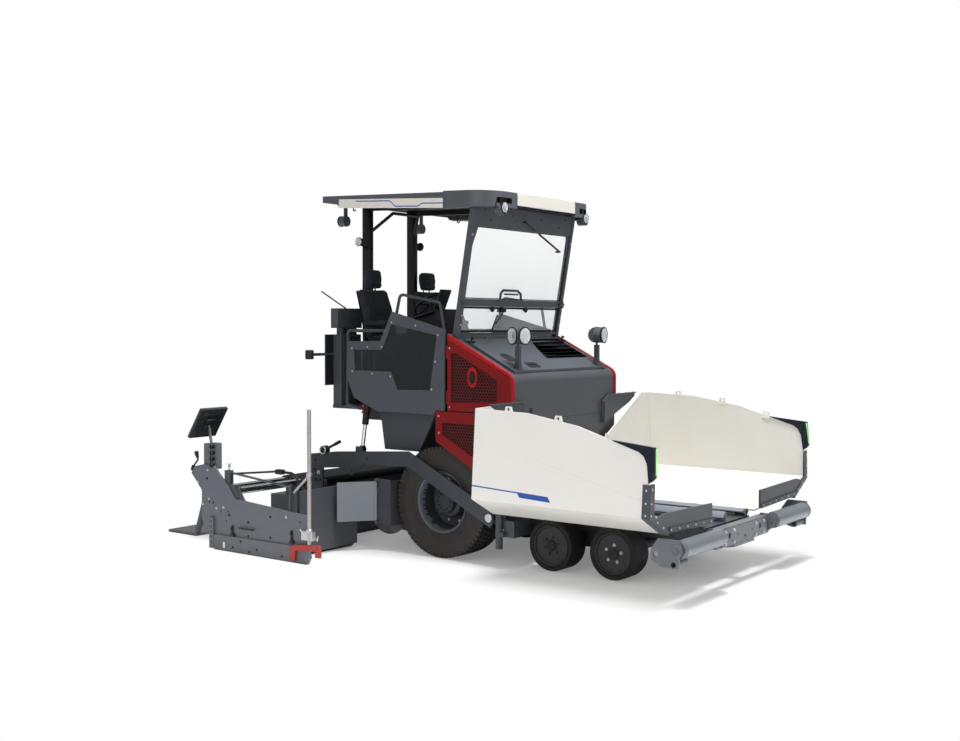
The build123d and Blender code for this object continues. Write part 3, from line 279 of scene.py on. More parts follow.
def settled_here(piece):
    """Applies a piece's place, turn and stretch to its points."""
    alone(piece)
    bpy.ops.object.transform_apply(location=True, rotation=True, scale=True)
    return piece


def worked(piece, kind, **settings):
    """Puts one modifier on a piece and applies it."""
    alone(piece)
    step = piece.modifiers.new(kind.lower(), kind)
    for key, value in settings.items():
        setattr(step, key, value)
    bpy.ops.object.modifier_apply(modifier=step.name)


def roll_edges(piece, width, segments=2, bend=32):
    """Rounds every edge sharper than the bend, and smooths what is left."""
    if width:
        worked(
            piece, "BEVEL", width=width, segments=segments, limit_method="ANGLE",
            angle_limit=math.radians(bend), miter_outer="MITER_ARC",
        )
    alone(piece)
    bpy.ops.object.shade_smooth_by_angle(angle=math.radians(bend + 4))


def settle(piece, body, finish, slot, *stands_for):
    """Paints a finished piece, fixes it to its body, and hides the frame pieces it stands for."""
    settled_here(piece)
    piece.data.materials.clear()
    piece.data.materials.append(finish.material)
    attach(piece, body)
    if stands_for:
        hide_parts(*stands_for)
    return piece


def own_copy(source, name):
    """Copy of a piece with a mesh of its own, free of its place in the frame."""
    twin = source.copy()
    twin.data = source.data.copy()
    bpy.context.scene.collection.objects.link(twin)
    twin.name = name
    twin.parent = None
    twin.matrix_world = Matrix.Identity(4)
    for key in [key for key in twin.keys() if key.startswith("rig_")]:
        del twin[key]
    alone(twin)
    return twin


def paint_part(piece, finish, test):
    """Gives a second finish to the faces of a piece whose middle and normal pass a test."""
    piece.data.materials.append(finish.material)
    alone(piece)
    bpy.ops.object.mode_set(mode="EDIT")
    bpy.ops.mesh.select_mode(type="FACE")
    bpy.ops.mesh.select_all(action="DESELECT")
    mesh = bmesh.from_edit_mesh(piece.data)
    for face in mesh.faces:
        face.select_set(bool(test(face.calc_center_median(), face.normal)))
    bmesh.update_edit_mesh(piece.data)
    piece.active_material_index = len(piece.data.materials) - 1
    bpy.ops.object.material_slot_assign()
    bpy.ops.object.mode_set(mode="OBJECT")


def break_edges(node, finish, slot, width=0.003, reshape=None):
    """Stands a welded-up copy of a frame piece in its place, reshaped if asked, with rolled edges."""
    piece = own_copy(nodes[node], node + "_finished")
    bpy.ops.object.mode_set(mode="EDIT")
    bpy.ops.mesh.select_all(action="SELECT")
    bpy.ops.mesh.customdata_custom_splitnormals_clear()
    bpy.ops.mesh.remove_doubles(threshold=0.00005)
    bpy.ops.mesh.dissolve_limited(angle_limit=math.radians(0.3))
    if reshape:
        reshape(piece)
    bpy.ops.object.mode_set(mode="OBJECT")
    roll_edges(piece, width)
    worked(piece, "WEIGHTED_NORMAL", keep_sharp=True, weight=50)
    return settle(piece, nodes[node]["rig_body"], finish, slot, node)


def pair(node, finish, slot, width=0.003):
    """The left and the right frame piece of one name, with rolled edges."""
    return [break_edges(node + side, finish, slot, width) for side in ("left", "right")]


frame_enamel = enamel("frame_enamel", "3f4349")
for node in (
    "main_frame", "hopper_frame", "channel_fronts", "front_axles", "final_drives", "tow_brackets",
    "tank_body",
):
    break_edges(node, frame_enamel, "frame_grey")
pair("knuckle_", frame_enamel, "frame_grey")
break_edges("drive_block", enamel("engine_iron", "1b1c1e", 0.6), "engine_dark")


# --- Wheels -----------------------------------------------------------------------------------
# A pair of large lugged air tyres drives the machine; four small solid rubber tyres carry the
# hopper. All are black rubber, dusty where they roll, on dark grey pressed steel rims.
def turned(name, profile, centre, axis, steps=72, bend=32):
    """Turns a closed outline of (radius, distance along the axis) points about an axis."""
    axis = Vector(axis).normalized()
    side = axis.orthogonal().normalized()
    bpy.ops.object.select_all(action="DESELECT")
    bpy.ops.mesh.primitive_circle_add(vertices=len(profile), fill_type="NOTHING")
    piece = bpy.context.object
    piece.name = name
    for vertex, (radius, along) in zip(piece.data.vertices, profile):
        vertex.co = Vector(centre) + axis * along + side * radius
    bpy.ops.object.mode_set(mode="EDIT")
    bpy.ops.mesh.select_all(action="SELECT")
    bpy.ops.mesh.spin(steps=steps, angle=2 * math.pi, center=centre, axis=axis)
    bpy.ops.mesh.select_all(action="SELECT")
    bpy.ops.mesh.remove_doubles(threshold=0.00002)
    bpy.ops.mesh.dissolve_degenerate(threshold=0.00001)
    bpy.ops.mesh.select_all(action="SELECT")
    bpy.ops.mesh.normals_make_consistent(inside=False)
    bpy.ops.object.mode_set(mode="OBJECT")
    bpy.ops.object.shade_smooth_by_angle(angle=math.radians(bend))
    return piece


def round_bar(name, start, end, radius, sides=28, edge=0.0015):
    """Round bar between two points, its ends chamfered."""
    start, end = Vector(start), Vector(end)
    bpy.ops.object.select_all(action="DESELECT")
    bpy.ops.mesh.primitive_cylinder_add(
        vertices=sides, radius=radius, depth=(end - start).length, location=(start + end) / 2,
        rotation=(end - start).to_track_quat("Z", "Y").to_euler(),
    )
    piece = settled_here(bpy.context.object)
    piece.name = name
    roll_edges(piece, min(edge, radius * 0.4), bend=40)
    return piece


def cut_plate(name, outline, across, start, depth, edge=0.002, segments=2):
    """Plate cut to an outline of two coordinates, with its thickness along the third."""
    first, second, along = {"x": (1, 2, 0), "y": (0, 2, 1), "z": (0, 1, 2)}[across]
    bpy.ops.object.select_all(action="DESELECT")
    bpy.ops.mesh.primitive_circle_add(vertices=len(outline), fill_type="NGON")
    piece = bpy.context.object
    piece.name = name
    for vertex, (u, v) in zip(piece.data.vertices, outline):
        spot = [0, 0, 0]
        spot[first], spot[second], spot[along] = u, v, start
        vertex.co = spot
    push = [0, 0, 0]
    push[along] = depth
    bpy.ops.object.mode_set(mode="EDIT")
    bpy.ops.mesh.select_all(action="SELECT")
    bpy.ops.mesh.extrude_region_move(TRANSFORM_OT_translate={"value": push})
    bpy.ops.mesh.select_all(action="SELECT")
    bpy.ops.mesh.normals_make_consistent(inside=False)
    bpy.ops.object.mode_set(mode="OBJECT")
    roll_edges(piece, edge, segments)
    return piece


def block(name, low, high, edge=0.003, segments=2):
    """Solid block between two corners, its edges rolled."""
    outline = [(low[0], low[1]), (high[0], low[1]), (high[0], high[1]), (low[0], high[1])]
    return cut_plate(name, outline, "z", low[2], high[2] - low[2], edge, segments)


def joined(name, pieces):
    """Makes one piece of several."""
    bpy.ops.object.select_all(action="DESELECT")
    for piece in pieces:
        piece.select_set(True)
    bpy.context.view_layer.objects.active = pieces[0]
    bpy.ops.object.join()
    pieces[0].name = name
    return pieces[0]


def both_sides(piece, body, finish, slot, node=None):
    """Fixes a left-hand piece and its mirror image; a name that ends in _ takes the side."""
    settled_here(piece)
    stem = piece.name
    twin = own_copy(piece, stem + "_right")
    piece.name = stem + "_left"
    twin.scale.y = -1
    settled_here(twin)
    bpy.ops.object.mode_set(mode="EDIT")
    bpy.ops.mesh.select_all(action="SELECT")
    bpy.ops.mesh.flip_normals()
    bpy.ops.object.mode_set(mode="OBJECT")
    for one, side in ((piece, "left"), (twin, "right")):
        home = body + side if body.endswith("_") else body
        stands_for = [node + side if node.endswith("_") else node] if node else []
        settle(one, home, finish, slot, *stands_for)
    return piece, twin


def bolt(radius):
    """Hexagon bolt head on its washer, standing on the ground plane."""
    washer = round_bar("washer", (0, 0, -0.001), (0, 0, radius * 0.22), radius * 1.25, 20, radius * 0.08)
    head = round_bar("head", (0, 0, radius * 0.2), (0, 0, radius * 0.85), radius, 6, radius * 0.14)
    return joined("bolt_master", [washer, head])


def dome(radius):
    """Round-headed screw, standing on the ground plane."""
    side = [(0, -0.001), (radius, -0.001), (radius, radius * 0.2)]
    crown = [(radius * 0.7, radius * 0.5), (0, radius * 0.62)]
    return turned("dome_master", side + crown, (0, 0, 0), (0, 0, 1), 16)


def bolt_set(name, places, radius, head=bolt):
    """One piece made of equal fixings, each on its own spot and facing its own way."""
    master = head(radius)
    made = []
    for spot, facing in places:
        turn = Vector(facing).to_track_quat("Z", "Y").to_matrix().to_4x4()
        made.append(own_copy(master, name))
        made[-1].matrix_world = Matrix.Translation(spot) @ turn
    bpy.data.objects.remove(master)
    return settled_here(joined(name, made))


def outward(y, spots):
    """Places for fixings on a left-hand face that looks out sideways."""
    return [((x, y, z), (0, 1, 0)) for x, z in spots]


def rubber_compound(name, code, dust):
    """Black rubber, greyed by dust in broad worn patches."""
    finish = Finish(name, code, 0.72)
    cloud = finish.noise(5.0, 5)
    fine = finish.noise(160, 3)
    soiled = finish.mix(linear(code, 0.75), dust, cloud * 0.5)
    finish.feed(Base_Color=soiled, Roughness=0.62 + fine * 0.25)
    finish.bump(fine + finish.noise(30, 2) * 0.6, 0.0012, 0.45)
    return finish


FULL_TURN = 2 * math.pi
REAR_Y = 0.6975
REAR_R = 0.54
LUGS = 66
LUG_HALF = FULL_TURN * REAR_R / LUGS * 0.41
drive_rubber = rubber_compound("drive_tyre_rubber", "1f1d1c", "3a3431")
roller_rubber = rubber_compound("solid_tyre_rubber", "0d0d0e", "201f1e")
carcass_side = [
    (0.300, 0.146), (0.303, 0.160), (0.318, 0.168), (0.334, 0.171), (0.338, 0.1765), (0.352, 0.1775),
    (0.357, 0.173), (0.400, 0.1800), (0.440, 0.1815), (0.446, 0.1825), (0.456, 0.1825), (0.461, 0.180),
    (0.490, 0.1765), (0.510, 0.170), (0.523, 0.150), (0.527, 0.08), (0.528, 0.0),
]
carcass = carcass_side + [(r, -y) for r, y in carcass_side[-2::-1]]
tyre_parts = [turned("rear_tyre_carcass", carcass, (0, REAR_Y, REAR_R), (0, 1, 0), 120)]
for y_from, y_to, r_from, r_to, shift in (
    (0.118, 0.1740, 0.500, 0.5375, 0.0), (0.040, 0.108, 0.516, 0.540, 0.5),
    (-0.034, 0.034, 0.516, 0.540, 0.0), (-0.108, -0.040, 0.516, 0.540, 0.5),
    (-0.1740, -0.118, 0.500, 0.5375, 0.0),
):
    low = (-LUG_HALF, REAR_Y + y_from, REAR_R + r_from)
    lug = block("lug", low, (LUG_HALF, REAR_Y + y_to, REAR_R + r_to), 0.003, 1)
    alone(lug)
    bpy.ops.object.mode_set(mode="EDIT")
    bpy.ops.mesh.select_all(action="SELECT")
    bpy.ops.transform.rotate(
        value=FULL_TURN / LUGS * shift, orient_axis="Y", center_override=(0, REAR_Y, REAR_R))
    bpy.ops.mesh.spin(
        steps=LUGS, dupli=True, angle=FULL_TURN, center=(0, REAR_Y, REAR_R), axis=(0, 1, 0))
    bpy.ops.mesh.select_all(action="SELECT")
    bpy.ops.mesh.remove_doubles(threshold=0.00002)
    bpy.ops.object.mode_set(mode="OBJECT")
    tyre_parts.append(lug)
both_sides(joined("rear_tyre_lugged", tyre_parts), "rear_wheel_", drive_rubber, "tyre_rubber", "rear_tyre_")

SOLID_R = 0.235
SOLID_Y = 0.6275
MID_X, FRONT_X = 1.184, 1.835
VALVE = (0.098 * math.cos(2.6), 0.098 * math.sin(2.6))
solid_side = [
    (0.1855, 0.112), (0.190, 0.121), (0.197, 0.1235), (0.2, 0.1215), (0.205, 0.1245), (0.214, 0.1270),
    (0.225, 0.1245), (0.2315, 0.116), (0.2345, 0.104), (0.235, 0.06), (0.235, 0.0),
]
solid_outline = solid_side + [(r, -y) for r, y in solid_side[-2::-1]]
rim_enamel = enamel("rim_enamel", "2a2c30", 0.42)
dark_bolt = enamel("blackened_bolt", "17181a", 0.45)
zinc = Finish("zinc_plating", "b9bcc0", 0.3, Metallic=0.9)
zinc.feed(Roughness=zinc.noise(60, 3) * 0.25 + 0.2)
rim_bright = enamel("rim_lip_enamel", "5b6068", 0.3)
for rim in pair("rear_rim_", rim_enamel, "rim_grey", 0.004):
    paint_part(rim, rim_bright, lambda c, n: math.hypot(c.x, c.z - REAR_R) > 0.262 and abs(c.y) > 0.80)
cap_edge = [
    (0, 0.700), (0.046, 0.700), (0.046, 0.744), (0.041, 0.752), (0.030, 0.754), (0.027, 0.750),
    (0, 0.750),
]
lip = [(0, 0.7255), (0.015, 0.7255), (0.015, 0.7285), (0.011, 0.7290), (0.010, 0.7265), (0, 0.7265)]
for wheel, x in (("mid", MID_X), ("front", FRONT_X)):
    body = wheel + "_wheel_"
    tyre = turned(wheel + "_tyre_solid", solid_outline, (x, SOLID_Y, SOLID_R), (0, 1, 0), 96)
    both_sides(tyre, body, roller_rubber, "tyre_rubber", wheel + "_tyre_")
    pair(wheel + "_rim_", rim_enamel, "rim_grey")
    cap = turned(wheel + "_hub_cap", cap_edge, (x, 0, SOLID_R), (0, 1, 0), 36)
    both_sides(cap, body, dark_bolt, "rim_grey")
    hole = turned(wheel + "_valve_hole", lip, (x + VALVE[0], 0, SOLID_R + VALVE[1]), (0, 1, 0), 24)
    both_sides(hole, body, dark_bolt, "rim_grey")


def ring(x, y, z, radius, count, start=0.0):
    """Places round a bolt circle on a left-hand wheel."""
    turns = [start + FULL_TURN * i / count for i in range(count)]
    return outward(y, [(x + radius * math.cos(t), z + radius * math.sin(t)) for t in turns])


for name, places, radius, wheel, finish in (
    ("wheel_nuts", ring(0, 0.650, REAR_R, 0.208, 10), 0.015, "rear", zinc),
    ("hub_bolts", ring(0, 0.814, REAR_R, 0.078, 12), 0.009, "rear", dark_bolt),
    ("mid_bolts", ring(MID_X, 0.7275, SOLID_R, 0.078, 6, 0.3), 0.012, "mid", dark_bolt),
    ("front_bolts", ring(FRONT_X, 0.7275, SOLID_R, 0.078, 5, 0.2), 0.012, "front", zinc),
):
    both_sides(bolt_set(name, places, radius), wheel + "_wheel_", finish, "rim_grey")


# --- Hopper wings -----------------------------------------------------------------------------
# Two folding wings of bent sheet in warm white enamel, cream inside. A blue line with a blank
# tail runs along the outside, and a pressed crease with a painted shade line falls towards the front.
def wing_enamel():
    """White outside, cream and scuffed by the mix inside, with the blue line, and the crease with a painted
    shade line.
    """
    finish = Finish("wing_enamel", "e4e1db", 0.4)
    x, y, z = finish.axis(0), abs(finish.axis(1)), finish.axis(2)
    outside = (y * 0.784 + z * 0.056 - 1.3086).over(-0.006, 0.002)
    below = 1 - z.over(0.745, 0.002)
    scuffs = finish.noise(3.0, 6, (1, 1, 0.25))
    inside_paint = finish.mix("d9d7d1", "cfccc4", scuffs)
    floor_paint = finish.mix(inside_paint, "d6d4ce", below)
    white_paint = finish.mix("e6e4e0", "dcd9d3", finish.noise(1.1, 3))
    paint = finish.mix(floor_paint, white_paint, outside)
    under_edge = 0.8675 - (x - 0.935) * 0.0483 - z
    below_edge = under_edge.over(0, 0.0008)
    thin = below_edge * (1 - under_edge.over(0.012, 0.0008)) * (1 - x.over(1.46, 0.001))
    start = x - under_edge * 0.7
    tail = start.over(1.405, 0.001) * (1 - start.over(1.718, 0.001)) * below_edge
    tail = tail * (1 - under_edge.over(0.044, 0.0008))
    blue = (thin + tail).maths("MINIMUM", thin + tail, 1) * outside
    # The crease gets painted shade: a darker line along it, besides the pressed bump below.
    crease = z - 1.157 + (x - 1.439) * 0.2446
    crease_shade = 1 - abs(crease).over(0.004, 0.004)
    lined = finish.mix(paint, "1d4a9c", blue)
    lined = finish.mix(lined, "d5d0c8", crease_shade * x.over(1.45, 0.05) * outside * 0.55)
    rubbed = scuffs * 0.25 * (1 - outside) + finish.noise(60, 2) * 0.06
    finish.feed(Base_Color=lined, Roughness=0.3 + rubbed)
    pressed = crease.over(0, 0.012) * x.over(1.45, 0.3) * outside
    finish.bump(pressed * 0.6 + finish.noise(2.4, 2) * 0.5, 0.003, 0.5)
    return finish


def reshaped(piece, rule):
    """Moves each point of a piece by a rule that changes its coordinates."""
    for vertex in piece.data.vertices:
        rule(vertex.co)
    return piece


def lean_back(co):
    """Leans a strip on a wing's front edge back as it rises."""
    co.x -= (co.z - 1.066) * 0.017 / 0.231


hopper_enamel = wing_enamel()
body_enamel = enamel("body_enamel", "44484e")
night_blue = enamel("night_blue_enamel", "0d1224", 0.3, 0.02)
# The green marker lens is given a painted glow through its emission.
glowing_marker_green = Finish("marker_lens", "4fae3f", 0.25, Emission_Strength=0.9)
glowing_marker_green.feed(Emission_Color=glowing_marker_green.mix("2f9a2a", "b9f59b", glowing_marker_green.noise(9, 1)))
marker_rim = enamel("marker_rim", "123018", 0.3, 0.02)
pair("wing_", hopper_enamel, "hopper_white")
for apron in pair("wing_apron_", body_enamel, "machine_grey", 0.002):
    paint_part(apron, night_blue, lambda c, n: c.z > (1.013 if c.x < 2.684 else 1.006) and c.x > 2.30)
lens_edge = [(1.5460, 1.287), (1.5585, 1.287), (1.5860, 1.078), (1.5735, 1.078)]
lens = cut_plate("wing_marker_lens", lens_edge, "x", 2.693, 0.022)
both_sides(reshaped(lens, lean_back), "hopper_wing_", glowing_marker_green, "trim_white")
strip_edge = [(1.5430, 1.292), (1.5800, 1.294), (1.6035, 1.068), (1.5700, 1.066)]
strip = cut_plate("wing_marker_frame", strip_edge, "x", 2.690, 0.016)
both_sides(reshaped(strip, lean_back), "hopper_wing_", marker_rim, "machine_grey")
front = ((1.588, 0.97), (1.601, 0.86), (1.607, 0.765), (1.50, 0.70), (1.40, 0.645))
places = [((2.682, y, z), (1, 0, 0)) for y, z in front]
places += [((2.686, 0.55 + i * 0.145, 0.588 + i * 0.0048), (1, 0, 0)) for i in range(6)]
places += [((2.64, 1.669 - z * 0.0714 + 0.009, z), (0, 1, 0.07)) for z in (0.96, 0.86, 0.765)]
both_sides(bolt_set("apron_bolts", places, 0.009, dome), "hopper_wing_", zinc, "bright_grey")


# --- Conveyor and augers ----------------------------------------------------------------------
# Worn steel that the mix polishes: scraper slats on their chains, the guards over the chains, and
# the screw flights that spread the mix.
def worn_steel(name, code, bright):
    """Hard steel, brown where the mix dries on it and polished where it slides."""
    finish = Finish(name, code, 0.5, Metallic=0.6)
    cloud = finish.noise(7, 6)
    streak = finish.noise(26, 4, (0.15, 1, 1))
    metal = finish.mix(code, bright, streak)
    stained = finish.mix(metal, "3a3430", cloud.over(0.52, 0.12) * 0.6)
    finish.feed(Base_Color=stained, Roughness=0.35 + cloud * 0.4)
    finish.bump(streak + cloud, 0.0015, 0.5)
    return finish


guard_enamel = enamel("guard_enamel", "787d85", 0.38)
break_edges("slat_conveyor", worn_steel("slat_steel", "54575b", "8a8d91"), "wear_steel", 0.0015)
break_edges("conveyor_guards", guard_enamel, "bright_grey")
pair("auger_", worn_steel("auger_steel", "45474a", "6d7074"), "wear_steel", 0.0015)
pair("tunnel_plate_", guard_enamel, "bright_grey")

# --- Push beam and rollers --------------------------------------------------------------------
# Cast and welded beam that swivels under the hopper's lip; its two rollers push the lorry's
# wheels. Satin grey enamel, the rollers' faces burnished.
beam_enamel = enamel("beam_enamel", "62666d", 0.32)
roller_face = Finish("roller_face", "5a5e64", 0.3, Metallic=0.35)
bands = roller_face.noise(10, 4, (1, 6, 1))
roller_face.feed(Base_Color=roller_face.mix("646970", "858b93", bands), Roughness=0.24 + bands * 0.2)
roller_face.bump(bands, 0.0008, 0.4)
break_edges("push_beam", beam_enamel, "frame_grey", 0.004)
pair("push_roller_", roller_face, "wear_steel", 0.006)
cap_edge = [
    (0, 1.341), (0.052, 1.341), (0.052, 1.348), (0.046, 1.353), (0.034, 1.353), (0.031, 1.349),
    (0.018, 1.349), (0.016, 1.356), (0, 1.357),
]
cap = turned("roller_cap", cap_edge, (2.77, 0, 0.46), (0, 1, 0), 40)
both_sides(cap, "roller_", beam_enamel, "frame_grey")
collar_edge = [(0.060, 0), (0.0775, 0), (0.0775, 0.010), (0.060, 0.010)]
collar = turned("roller_collar", collar_edge, (2.77, 1.285, 0.46), (0, 1, 0), 48)
both_sides(collar, "roller_", beam_enamel, "frame_grey")
places = [((2.750, y, z), (1, 0, 0)) for y in (-0.40, -0.23, 0.23, 0.40) for z in (0.375, 0.475)]
settle(bolt_set("beam_bolts", places, 0.013), "push_beam", zinc, "bright_grey")


# --- Engine housing ---------------------------------------------------------------------------
# Grey sheet housing with a sloped lid hinged under the windscreen. The lid has louvre slots painted
# near-black as shade, a recessed grip and its seam all round; the housing's front shows its hatch's shut
# line.
def hood_enamel():
    """Grey sheet enamel with the shut line of the front hatch drawn into it."""
    finish = enamel("hood_enamel", "44484d", 0.36)
    off_y = abs(finish.axis(1) - 0.16) - 0.47
    off_z = abs(finish.axis(2) - 1.16) - 0.20
    edge = off_y.maths("MAXIMUM", off_y, off_z)
    line = (1 - abs(edge).over(0.0028, 0.0012)) * finish.axis(0).over(0.872, 0.002)
    finish.feed(Base_Color=finish.mix(finish.painted, "15161a", line * 0.9))
    return finish


SLOPE = 0.5


def lid_height(x):
    """Height of the lid's outer face."""
    return 2.242 - SLOPE * x


# Near-black that stands in for shade in the louvre slots and the door latch wells; the windscreen's rubber
# seals use it too.
shade_black = Finish("shade_black", "060607", 0.8)
shade_black.feed(Base_Color=shade_black.mix("050506", "0c0c0e", shade_black.noise(30, 2)))
black = Finish("moulded_black", "0e0f11", 0.48, Specular_IOR_Level=0.3)
black.feed(Base_Color=black.mix("131416", "1c1d20", black.noise(9, 3)))
black.feed(Roughness=0.4 + black.noise(90, 2) * 0.18)
black.bump(black.noise(600, 1), 0.0003, 0.25)
break_edges("hood_cowl", hood_enamel(), "machine_grey", 0.004)
lid = break_edges("hood_lid", enamel("lid_enamel", "43474e", 0.42), "machine_grey")
# The louvre slots' walls and the sheet under them are painted near-black as shade.
paint_part(lid, shade_black, lambda c, n: abs(n.z) < 0.35 and 0.27 < c.x < 0.66 and abs(c.y) < 0.76)
upper, lower = lid_height(0.262) - 0.032, lid_height(0.67) - 0.032
slope_sheet = [(0.262, upper), (0.67, lower), (0.67, lower - 0.006), (0.262, upper - 0.006)]
settle(cut_plate("louvre_screen", slope_sheet, "y", -0.03, 0.80, 0), "hood_lid", shade_black, "engine_dark")

GRIP_X, GRIP_Y = 0.745, -0.40
z = lid_height(GRIP_X)
cup_edge = [(-0.045, -0.075), (0.02, -0.095), (0.045, -0.075), (0.045, 0.075), (0.02, 0.095), (-0.045, 0.075)]
well_edge = [(-0.03, -0.06), (0.03, -0.06), (0.03, 0.06), (-0.03, 0.06)]
cup_edge, well_edge = [[(GRIP_X + u, GRIP_Y + v) for u, v in edge] for edge in (cup_edge, well_edge)]
lid_grip = joined("lid_grip", [
    cut_plate("cup", cup_edge, "z", z - 0.002, 0.007),
    round_bar("bar", (GRIP_X, GRIP_Y - 0.062, z + 0.008), (GRIP_X, GRIP_Y + 0.062, z + 0.008), 0.009, 16),
    cut_plate("well", well_edge, "z", z + 0.004, 0.0025, 0)])


def lie_on_lid(co):
    """Lays a level piece on the lid's slope."""
    co.z -= (co.x - GRIP_X) * SLOPE


settle(reshaped(lid_grip, lie_on_lid), "hood_lid", black, "black_plastic")
disc_edge = [(0, 0), (0.082, 0), (0.078, 0.004), (0.070, 0.0045), (0.066, 0.0025), (0, 0.003)]
vent = turned("lid_vent_disc", disc_edge, (0.60, -0.60, lid_height(0.60)), (SLOPE, 0, 1), 48)
settle(vent, "hood_lid", dark_bolt, "engine_dark")
z = lid_height(0.30)
knob_edge = [(0, -0.006), (0.017, -0.006), (0.019, 0.0), (0.017, 0.006), (0, 0.008)]
latch = joined("lid_latch", [
    block("foot", (0.275, 0.76, z - 0.012), (0.335, 0.82, z + 0.008), 0.004),
    round_bar("post", (0.30, 0.79, z - 0.004), (0.318, 0.79, z + 0.032), 0.008, 16),
    turned("knob", knob_edge, (0.322, 0.79, z + 0.036), (SLOPE, 0, 1), 20)])
both_sides(latch, "hood_lid", dark_bolt, "engine_dark")
places = []
for sign in (1, -1):
    places += [((0.910, sign * y, 1.5455), (0, 0, 1)) for y in (0.80, 0.95, 1.10, 1.25)]
    places += [((0.9025, sign * 0.675, z), (1, 0, 0)) for z in (1.29, 1.38, 1.46)]
break_edges("corner_flaps", body_enamel, "machine_grey", 0.002)
settle(bolt_set("flap_bolts", places, 0.008, dome), "tractor", dark_bolt, "bright_grey")

# Round working lamps: two black pods on each folded post, with a faceted reflector and a
# clear lens.
reflector = Finish("lamp_reflector", "dfe3e6", 0.18, Metallic=0.85)
facets = reflector.node("ShaderNodeTexVoronoi", links={"Vector": reflector.place(), "Scale": 70.0})
# The facets' lighter and darker metal colour is a painted reflection; the bump gives their shape.
reflector.feed(Base_Color=reflector.mix("9aa0a6", "f4f6f7", facets))
reflector.bump(facets, 0.004, 0.6)
clear_lens = Finish("clear_lens", "f2f5f6", 0.06, Alpha=0.22, Coat_Weight=1.0)
clear_lens.feed(Roughness=clear_lens.noise(120, 1) * 0.06 + 0.03)
break_edges("bonnet_lamps", body_enamel, "black_plastic")


def lamp_pod(name, centre, facing, radius, depth, body):
    """Round lamp: turned housing with its bezel, bright dished reflector and a domed lens."""
    back = [(0, -depth), (0.55, -depth), (0.86, -depth * 0.62), (1, -depth * 0.15)]
    bezel = [(1.06, 0.0), (1.06, 0.010), (0.94, 0.012), (0.92, 0.001), (0, 0.001)]
    dish = [(0, 0.0012), (0.91, 0.0012), (0.91, 0.009), (0.75, 0.005), (0.35, 0.0025), (0, 0.004)]
    glass = [(0, 0.012), (0.92, 0.0095), (0.92, 0.0115), (0.6, 0.0165), (0, 0.0185)]
    for part, edge, finish, slot in (
        ("_housing", back + bezel, black, "black_plastic"), ("_reflector", dish, reflector, "chrome_rod"),
        ("_lens", glass, clear_lens, "tinted_glass"),
    ):
        profile = [(share * radius, along) for share, along in edge]
        settle(turned(name + part, profile, centre, facing, 40), body, finish, slot)


SIDES = (("left", 1), ("right", -1))
for name, x, y, aim_x, aim_y in (
    ("ahead_lamp_", 0.865, 0.713, 0.99, 0.12), ("outward_lamp_", 0.762, 0.755, -0.37, 0.93),
):
    for side, sign in SIDES:
        lamp_pod(name + side, (x, sign * y, 2.15), (aim_x, sign * aim_y, 0), 0.079, 0.06, "hood_lid")


# --- Red doors and covers ---------------------------------------------------------------------
# Deep red enamelled sheet with windows of fine perforated sheet, one latch in each door.
def perforated(name, code, pitch, hole):
    """Sheet with staggered round holes, painted near-black inside them as shade."""
    finish = Finish(name, code, 0.42, Specular_IOR_Level=0.2)
    x, z = finish.axis(0), finish.axis(2)
    tall = pitch * 3 ** 0.5

    def away(shift):
        """Distance to the nearest hole of one of the two square grids that make the pattern."""
        across = (x / pitch + shift).maths("FRACT", x / pitch + shift) - 0.5
        up = (z / tall + shift).maths("FRACT", z / tall + shift) - 0.5
        flat = across * across * pitch ** 2 + up * up * tall ** 2
        return flat.maths("SQRT", flat)

    first, second = away(0.0), away(0.5)
    web = first.maths("MINIMUM", first, second).over(hole, pitch * 0.06)
    # The holes are painted near-black, a painted shade of the space behind the sheet.
    finish.feed(Base_Color=finish.mix("070505", code, web), Roughness=0.85 - web * 0.4)
    finish.bump(web, 0.002, 0.8)
    return finish


door_red = enamel("door_red", "741013", 0.3, 0.04)
# A lighter red paints highlight on the doors' folded edges, the door rims and the latch plates.
edge_red = enamel("edge_red", "98191c", 0.3, 0.04)
for red in (door_red, edge_red):
    red.feed(Specular_IOR_Level=0.18)
mesh_red = perforated("perforated_red", "5c1012", 0.032, 0.0122)
DOOR_Y = 0.9135
BOLT_Y = 0.9255
LATCH_X, LATCH_Z = 0.421, 1.757
DOOR_WINDOW = [(0.163, 1.985), (0.225, 1.990), (0.712, 1.745), (0.716, 1.528), (0.100, 1.512)]
COVER_WINDOW = [(0.058, 1.322), (0.464, 1.322), (0.464, 0.992), (0.440, 0.992), (0.058, 1.200)]
NOSE_TURNS = [math.radians(angle) for angle in (0, 16, 32, 48, 63.4)]
nose = {r: [(0.790 + r * math.cos(a), 1.7193 + r * math.sin(a)) for a in NOSE_TURNS] for r in (0.104, 0.072)}
rim_outline = [(0.125, 2.117), (0.125, 2.166)] + nose[0.104][::-1]
rim_outline += [(0.894, 1.50), (0.862, 1.50)] + nose[0.072]


def on_door_edge(c, n):
    """Whether a face is one of a door's folded edges, clear of its window; these take the painted highlight.
    """
    folded = 0.3 < abs(n.y) < 0.97 and max(abs(n.z), abs(n.x)) > 0.2
    return folded and abs(c.y) > 0.9 and c.z > 1.44 and not (0.09 < c.x < 0.76 and c.z < 2.02 - 0.5 * c.x)


